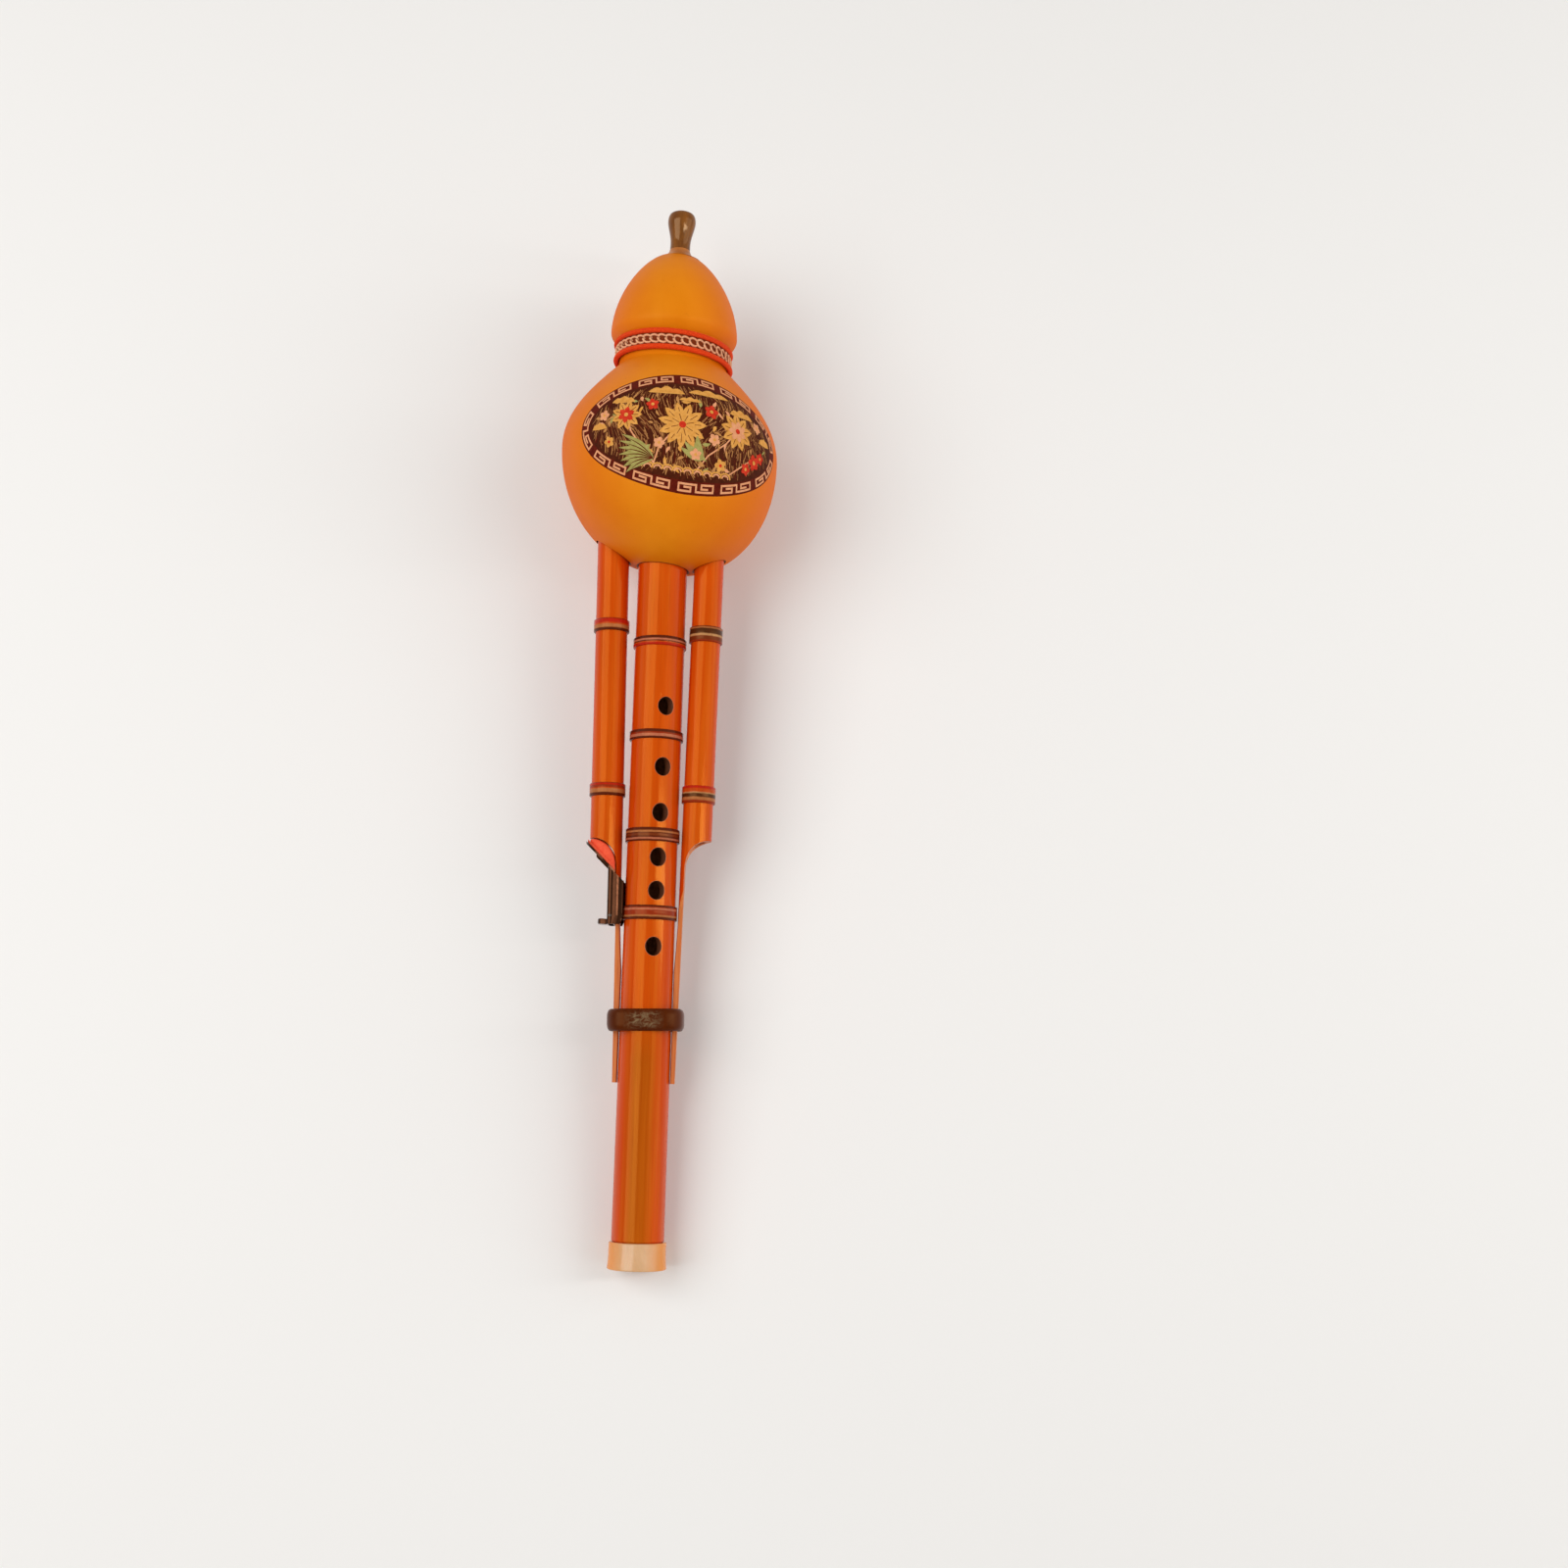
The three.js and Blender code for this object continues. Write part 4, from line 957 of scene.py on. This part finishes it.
def add_melody_pipe():
    seat, low, top = 9.3, 1.5, 10.3
    rings = [(seat, low), (seat, top), (pipe_radius(top) - 0.25, top), (pipe_radius(10.6), 10.6)]
    rings += [(pipe_radius(z), z) for z in np.linspace(14, PIPE_END, 40)]
    rings += [(BORE_R, PIPE_END), (BORE_R, low)]
    tube = bored("melody_pipe", rings, 112, 2, [MELODY, BORE])
    cutters = [hole_cutter(pi, PIPE * THUMB_HOLE, 5.9, 7.0)]
    for share in HOLES:
        turn = 15 + 9 * (share - HOLES[0]) / (HOLES[-1] - HOLES[0])
        cutters.append(hole_cutter(radians(turn), PIPE * share, 6.3, 7.0))
    for side in (-1, 1):
        cutters.append(hole_cutter(pi + radians(35 * side), PIPE * CORD_HOLES, 3, 3))
    cutters += reed_cutters(PIPE_TOP_R, MAIN_REED)
    piece("melody_pipe", cut(tube, cutters, 35), UPRIGHT, "main_pipe")


add_melody_pipe()


def add_ferrule():
    top, foot, edge = 10.8, 11.15, 0.5
    bore = BORE_R + CLEARANCE
    outline = [(bore, 0.35), (BORE_R + 0.7, 0), (foot - edge, 0)]
    for a in np.linspace(0.3, 1.57, 6):
        outline.append((foot - edge * (1 - sin(a)), edge * (1 - cos(a))))
    outline += [(10.98, 2), (10.86, 3.6), (top, 5.4), (10.78, 7.6)]
    for a in np.linspace(0, 1.57, 6):
        outline.append((top - edge * (1 - cos(a)), 10 - edge * (1 - sin(a))))
    outline += [(9.6, 10), (9.6, 1.2), (bore, 1.2)]
    net_piece("milky_ferrule", turned(outline, 112), MILKY, UPRIGHT, "foot_ferrule", sharp=45)


add_ferrule()

# Line bands: low rings with fine lines of colour

DARK, BROWN, TAN = (0.085, 0.008, 0.002), (0.17, 0.025, 0.005), (0.46, 0.15, 0.045)
PINK, RED, BLACK = (0.52, 0.15, 0.075), (0.52, 0.012, 0.004), (0.05, 0.014, 0.003)
MAROON, CREAM, ORANGE = (0.3, 0.022, 0.004), (0.52, 0.26, 0.1), (0.55, 0.06, 0.003)


def add_band(name, node, matrix, radius_at, middle, height, stops):
    low = middle - height / 2
    edge, lift = 0.22, CLEARANCE + 0.42
    rows = [(0, lift - edge), (edge, lift), (height - edge, lift), (height, lift - edge), (height, 0.02), (0, 0.02)]
    net = turned([(radius_at(low + z) + out, z) for z, out in rows], 112)
    look = striped_look(name, height, stops)
    net_piece(name, net, look, matrix @ shifted(0, 0, low), node, sharp=50)


MAIN_BANDS = [
    (0.8891, 3.7, [(0, RED), (0.26, ORANGE), (0.38, DARK), (0.5, PINK), (0.69, DARK)]),
    (0.7519, 3.6, [(0, DARK), (0.2, PINK), (0.5, MAROON), (0.68, DARK)]),
    (0.6065, 5.2, [(0, DARK), (0.12, PINK), (0.25, DARK), (0.38, BROWN), (0.56, DARK), (0.64, TAN), (0.78, DARK)]),
    (0.4953, 5.4, [(0, DARK), (0.18, TAN), (0.31, MAROON), (0.66, PINK), (0.8, MAROON), (0.86, DARK)]),
]
LEFT_BANDS = [
    (0.9143, 4.8, [(0, DARK), (0.2, TAN), (0.48, ORANGE), (0.6, RED), (0.92, MAROON)]),
    (0.6719, 5, [(0, DARK), (0.22, TAN), (0.52, ORANGE), (0.6, MAROON), (0.8, RED), (0.93, MAROON)]),
]
RIGHT_BANDS = [
    (0.9038, 6.2, [(0, MAROON), (0.1, BROWN), (0.36, CREAM), (0.5, BLACK), (0.84, TAN), (0.92, BROWN)]),
    (0.6677, 6.6, [(0, MAROON), (0.15, TAN), (0.33, BLACK), (0.55, CREAM), (0.62, ORANGE), (0.84, RED)]),
]


def add_bands():
    for part, frame_of, node, radius_at, base, bands in (
        ("main", UPRIGHT, "main_pipe", pipe_radius, 0, MAIN_BANDS),
        ("left", LEFT, "left_drone", lambda z: LEFT_R, TAIL_END, LEFT_BANDS),
        ("right", RIGHT_DRONE, "right_drone", lambda z: RIGHT_R, TAIL_END, RIGHT_BANDS),
    ):
        for i, (share, height, stops) in enumerate(bands, 1):
            name = f"{part}_lines_{i}"
            add_band(name, f"{node}_band_{i}", frame_of, radius_at, PIPE * share - base, height, stops)


add_bands()

# Drones: tubes scooped open at the lower end, with a thin tail

SCOOP_POWER = 2.4


def scoop_line(face, inset=0.0, steps=28):
    """The scoop's hollow line, from the tail's flat face up to the tube's far side."""
    reach = SCOOP_R - inset
    power = 2 / SCOOP_POWER
    line = []
    for a in np.linspace(0, pi / 2, steps):
        x = face - SCOOP_R + reach * cos(a) ** power
        line.append((x, SCOOP - TAIL_END + reach * sin(a) ** power))
    return line


def tail_cutter(line, depth, across=False):
    """A cutter whose outline is drawn in x and z or, across, in y and z."""
    rows = [[(d, -x, z) if across else (x, d, z) for x, z in line] for d in (depth, -depth)]
    return mesh_of("tail_cutter", *capped(rows), [TAIL_EDGE])


def scoop_cutters(radius, side):
    """Cutters for the scoop, and for the tail's flat front and back edges."""
    face = radius - TAIL
    middle = SCOOP - TAIL_END
    line = [(face, -2)] + scoop_line(face) + [(-radius - SCOOP_R, middle + SCOOP_R), (-radius - SCOOP_R, -2)]
    half, wide = 2, 2 * radius
    edge = [(half, -2), (wide, -2), (wide, middle - 2), (radius + 0.2, middle - 2), (half, middle - 15)]
    if side > 0:
        line = [(-x, z) for x, z in line][::-1]
    mirrored = [(-y, z) for y, z in edge][::-1]
    return [tail_cutter(line, wide), tail_cutter(edge, wide, True), tail_cutter(mirrored, wide, True)]


def bend_tail(mesh, fan, side):
    """The clasp draws the tail in, close beside the melody pipe."""
    start, run, further = 57, 15, 0.18
    for vertex in mesh.vertices:
        z = vertex.co.z / MM
        share = min(max((start - z) / run, 0), 1)
        shift = share * share * (3 - 2 * share) * (further + z * sin(radians(fan)))
        vertex.co.x -= side * shift * MM
    mesh.update()


def add_drone(name, node, matrix, radius, fan, side):
    top = DRONE_END - TAIL_END
    inner = radius - DRONE_WALL
    rows = [(radius, z) for z in np.linspace(0, top, 30)] + [(inner, top), (inner, 0)]
    cutters = scoop_cutters(radius, side)
    if side < 0:
        cutters += reed_cutters(radius, LEFT_REED - TAIL_END)
    mesh = cut(bored(name, rows, 80, 3, [BAMBOO, RAW]), cutters, 35)
    bend_tail(mesh, fan, side)
    piece(name, mesh, matrix, node)


add_drone("left_tube", "left_drone", LEFT, LEFT_R, LEFT_FAN, -1)
add_drone("right_tube", "right_drone", RIGHT_DRONE, RIGHT_R, RIGHT_FAN, 1)

# Clasp ring


def add_clasp():
    level, lean = PIPE * 0.344, -1.5
    core, wall, edge, high = 6, 1.6, 1.35, 8.3 / 2
    depth = pipe_radius(level) + CLEARANCE - core
    width = depth + TAIL + 3 * CLEARANCE
    profile = [(core, -high), (core + 0.2, -high)]
    for a in np.linspace(0, pi / 2, 9):
        profile.append((core + wall - edge + edge * sin(a), -high + 2 * edge * (1 - cos(a))))
    profile += [(r, -z) for r, z in profile[::-1]]
    rows = []
    for radius, z in profile:
        row = []
        for corner, (x, y) in enumerate(((width, depth), (-width, depth), (-width, -depth), (width, -depth))):
            for angle in np.linspace(corner, corner + 1, 15) * pi / 2:
                row.append((x + radius * cos(angle), y + radius * sin(angle), z))
        rows.append(row)
    matrix = UPRIGHT @ shifted(0, 0, level) @ leaning(lean)
    net = flipped(grid(rows, True, True))
    net_piece("horn_clasp", net, DARK_HORN, matrix, "clasp_ring", sharp=50)


add_clasp()

# Key of the left drone, in the drone's frame: bent-sheet lever, cushion, saddle and pin

PIVOT_X, PIVOT_Z = 2.6, SCOOP - TAIL_END - 18.3
LEVER_LOW = PIVOT_Z - 3.3
WALL_EDGE = 7.25
SHEET = 0.45


def chord_level(x, away):
    """Height of the slanting line that closes the scoop, moved outwards by a distance."""
    return SCOOP - TAIL_END + LEFT_R - TAIL - x - away * sqrt(2)


def section_line(left, half, corner):
    """Half of a channel's section: its front wall with a pressed rib, the bend, and the web."""
    rib, rib_high, rib_wide = 4.75, 0.42, 0.62
    line = []
    for x in np.linspace(WALL_EDGE, left + corner + 0.25, 22):
        line.append((x, -half - rib_high * exp(-((x - rib) / rib_wide) ** 2)))
    for a in np.linspace(pi / 2, pi, 7):
        line.append((left + corner + corner * cos(a), -(half - corner) - corner * sin(a)))
    return line + [(left, 0)]


def wall_edge(z):
    """How far the channel's walls reach: less below the pin, where they swing inwards."""
    return min(WALL_EDGE, 7.5 - 0.42 * (PIVOT_Z - z))


def channel_net():
    web, half, corner = 1.35, 5.9, 1.3
    outer = section_line(web, half, corner)
    inner = section_line(web + SHEET, half - SHEET, corner - SHEET)
    loop = outer + [(x, -y) for x, y in outer[:-1][::-1]] + [(x, -y) for x, y in inner[:-1]] + inner[::-1]
    rows = []
    for k in (0, 0.04, 0.08, 0.12, 0.16, 0.2, 0.3, 0.5, 0.75, 1):
        row = []
        for x, y in loop:
            z = LEVER_LOW + (chord_level(x, 1.5) - LEVER_LOW) * k
            share = max(x - web - SHEET, 0) / (WALL_EDGE - web - SHEET)
            row.append((x - share * (WALL_EDGE - wall_edge(z)), y, z))
        rows.append(row)
    points, faces = grid(rows)
    count = len(loop)
    for start, flip in ((0, True), (len(points) - count, False)):
        for i in range(count // 2 - 1):
            face = (start + i, start + i + 1, start + count - 2 - i, start + count - 1 - i)
            faces.append(face[::-1] if flip else face)
    return points, faces


def flap_net(near, far, radius, left, right):
    """A slanting plate with a round outline, between two distances from the closing line."""
    rows = []
    for k in np.linspace(0, pi, 28):
        x = left + (right - left) * (1 - cos(k)) / 2
        half = sqrt(max(radius * radius - x * x, 0.04))
        ring = [(-1, near), (-1, far), (0, far), (1, far), (1, near), (0, near)]
        rows.append([(x, half * q, chord_level(x, away)) for q, away in ring])
    return capped(rows)


def strap_net():
    """The short strap that joins the plate to the channel."""
    near, far, half = 1.75, 2.5, 2.5
    ring = [(-half, near), (-half, far), (half, far), (half, near)]
    return capped([[(x, y, chord_level(x, away)) for y, away in ring] for x in np.linspace(-3.4, 1.7, 6)])


def tab_net():
    """The thumb tab at the channel's foot, with a rounded end."""
    root, neck, half = 1.6, -0.9, 3.5
    outline = [(root, -half), (root, half), (neck, half)]
    for a in np.linspace(pi / 2 - 0.2, 0.2 - pi / 2, 11):
        outline.append((neck - root * cos(a), half * sin(a)))
    outline += [(neck, -half)]
    rows = []
    for z, push in ((0, 0.25), (0.3, 0), (1.8, 0), (2.1, 0.3)):
        rows.append([(x + (push if x < 0 else 0), y, LEVER_LOW + z + 0.06 * (root - x)) for x, y in outline])
    return capped(rows)


def edge_beads():
    """Rolled lips along the channel's walls."""
    rise = chord_level(WALL_EDGE, 1.5) - LEVER_LOW
    levels = [LEVER_LOW + rise * k for k in (0, 0.06, 0.12, 0.18, 0.24, 0.5, 0.75, 1)]
    return [swept([(wall_edge(z), y, z) for z in levels], 0.36, 10, False) for y in (-5.6, 5.6)]


def ridged(made, width):
    bevel = made.modifiers.new("edges", "BEVEL")
    bevel.width = width * MM
    bevel.segments = 2
    bevel.limit_method = "ANGLE"
    bevel.angle_limit = radians(40)


def add_lever():
    plate = flap_net(1.0, 1.75, LEFT_R + 1.4, -LEFT_R - 1.3, LEFT_R - TAIL - 0.1)
    net = joined([channel_net(), plate, strap_net(), tab_net(), *edge_beads()])
    ridged(net_piece("key_sheet", net, NICKEL, LEFT, "key_lever", "key", 35), 0.12)


def add_saddle():
    """A plate glued to the tail, with a lug on each side that holds the pin."""
    half, sheet = 3.9, 0.6
    back, front = LEFT_R - TAIL - 0.75, LEFT_R - TAIL - CLEARANCE
    lug = [(back + 0.2, PIVOT_Z + 1.2)]
    for a in np.linspace(pi / 2, 3 * pi / 2, 13):
        lug.append((PIVOT_X + 0.7 * cos(a), PIVOT_Z + 0.7 * sin(a)))
    lug.append((back + 0.2, PIVOT_Z - 1.2))
    nets = [box_net((back, front), (-half, half), (LEVER_LOW, LEVER_LOW + 8.3))]
    for span in ((-half, sheet - half), (half - sheet, half)):
        nets.append(capped([[(x, y, z) for x, z in lug] for y in span]))
    ridged(net_piece("key_bracket", joined(nets), NICKEL, LEFT, "key_saddle", sharp=35), 0.08)


def add_pin():
    nets = [rod(0.45, -5.95, 5.95, 24)]
    for z in (-6.25, 5.87):
        nets.append(turned([(0.42, z), (0.58, z + 0.1), (0.58, z + 0.28), (0.42, z + 0.38)], 24, False))
    points, faces = flipped(joined(nets))
    points = [(PIVOT_X + x, z, PIVOT_Z - y) for x, y, z in points]
    net_piece("key_axle", (points, faces), BLUED, LEFT, "key_pin", sharp=35)


def add_pad():
    """The cushion that fills the scoop: its top follows the hollow, its foot lies on the flap."""
    face = LEFT_R - TAIL
    curve = scoop_line(face, 0.28, 60)
    xs, zs = [x for x, _ in curve][::-1], [z for _, z in curve][::-1]
    radius = LEFT_R - 0.12
    rows = []
    count, across = 34, 28
    for i in range(count + 1):
        k = (1 - cos(i / count * pi)) / 2
        x = -radius + 0.06 + (face - 0.5 + radius - 0.06) * k
        low, high = chord_level(x, 0.95), float(np.interp(x, xs, zs))
        thick = max(high - low, 0.1) * (1 - 0.12 * (2 * k - 1) ** 8)
        half = sqrt(radius * radius - x * x)
        row = []
        for j in range(across):
            a = TAU * (j + 0.5) / across
            y = half * copysign(abs(cos(a)) ** 0.35, cos(a))
            row.append((x, y, low + thick / 2 * (1 + copysign(abs(sin(a)) ** 0.35, sin(a)))))
        rows.append(row)
    net = joined([capped(rows), flap_net(0.05, 1.0, LEFT_R + 0.75, -LEFT_R - 0.7, face - 0.4)])
    made = net_piece("soft_pad", net, PAD, LEFT, "key_pad", "key", 50)


add_lever()
add_saddle()
add_pin()
add_pad()

# Hidden pieces, which keep the shapes of their solids

HIDDEN_LOOKS = {
    "gourd_seal_main": WAX_AND_SHADE, "gourd_seal_left": WAX_AND_SHADE, "gourd_seal_right": WAX_AND_SHADE,
    "main_pipe_plug": CORK, "left_drone_plug": CORK, "right_drone_plug": CORK,
    "main_reed_plate": BRASS, "main_reed_tongue": BRASS, "left_reed_plate": BRASS, "left_reed_tongue": BRASS,
    "key_spring": STEEL,
}
for node, look in HIDDEN_LOOKS.items():
    thing = nodes[node]
    thing.data.materials.clear()
    thing.data.materials.append(look)

# Studio

scene = bpy.context.scene
scene.view_settings.view_transform = "Standard"
BACKGROUND = (0.72, 0.69, 0.66, 1)
AIM = Vector((0, 0, 0.02))


def seen_share(tree):
    """1 for what the camera sees, directly, mirrored or through glass, and 0 for light."""
    path = add_node(tree, "ShaderNodeLightPath", {})
    share = path.outputs["Is Camera Ray"]
    for ray in ("Is Glossy Ray", "Is Transmission Ray"):
        either = add_node(tree, "ShaderNodeMath", {0: share, 1: path.outputs[ray]}, operation="MAXIMUM")
        share = either.outputs[0]
    return share


def add_floor():
    """A pale floor that fades, for the camera, into the plain background."""
    reach = 4000
    net = grid([[(x, y, 0) for x in (-reach, reach)] for y in (-reach, reach)], False)
    look = Look("floor", 0.8, Base_Color=(0.86, 0.85, 0.83, 1))
    distance = look.node("ShaderNodeVectorMath", {0: look.at}, operation="LENGTH").outputs["Value"]
    fade = look.sums("MULTIPLY", seen_share(look.tree), look.spread(distance, 0.55, 1.5))
    plain = look.node("ShaderNodeEmission", {"Color": BACKGROUND}).outputs[0]
    shade = look.node("ShaderNodeMixShader", {0: fade, 1: look.shader.outputs[0], 2: plain}).outputs[0]
    feed(look.tree, look.tree.nodes["Material Output"].inputs["Surface"], shade)
    floor = bpy.data.objects.new("floor", mesh_of("floor", *net, [look.material]))
    scene.collection.objects.link(floor)


def add_area(name, place, size, power):
    data = bpy.data.lights.new(name, "AREA")
    data.shape = "RECTANGLE"
    data.size, data.size_y = size
    data.energy = power
    lamp = bpy.data.objects.new(name, data)
    lamp.location = place
    lamp.rotation_euler = (AIM - Vector(place)).to_track_quat("-Z", "Y").to_euler()
    scene.collection.objects.link(lamp)


def add_world():
    """Soft light from all round, in front of which the camera sees the plain background."""
    made = bpy.data.worlds.new("studio")
    scene.world = made
    made.use_nodes = True
    tree = made.node_tree
    light = tree.nodes["Background"]
    light.inputs["Color"].default_value = (1, 0.97, 0.94, 1)
    light.inputs["Strength"].default_value = 0.34
    plain = add_node(tree, "ShaderNodeBackground", {"Color": BACKGROUND})
    inputs = {0: seen_share(tree), 1: light.outputs[0], 2: plain.outputs[0]}
    shade = add_node(tree, "ShaderNodeMixShader", inputs).outputs[0]
    feed(tree, tree.nodes["World Output"].inputs["Surface"], shade)


add_floor()
add_world()
add_area("soft_left", (-0.86, -0.02, 1.23), (1.2, 1.3), 14.8)
add_area("soft_right", (1.3, 0, 0.75), (1.5, 1.5), 7.6)
add_area("strip_right", (1.08, 0, 1.06), (0.13, 1.3), 4.4)
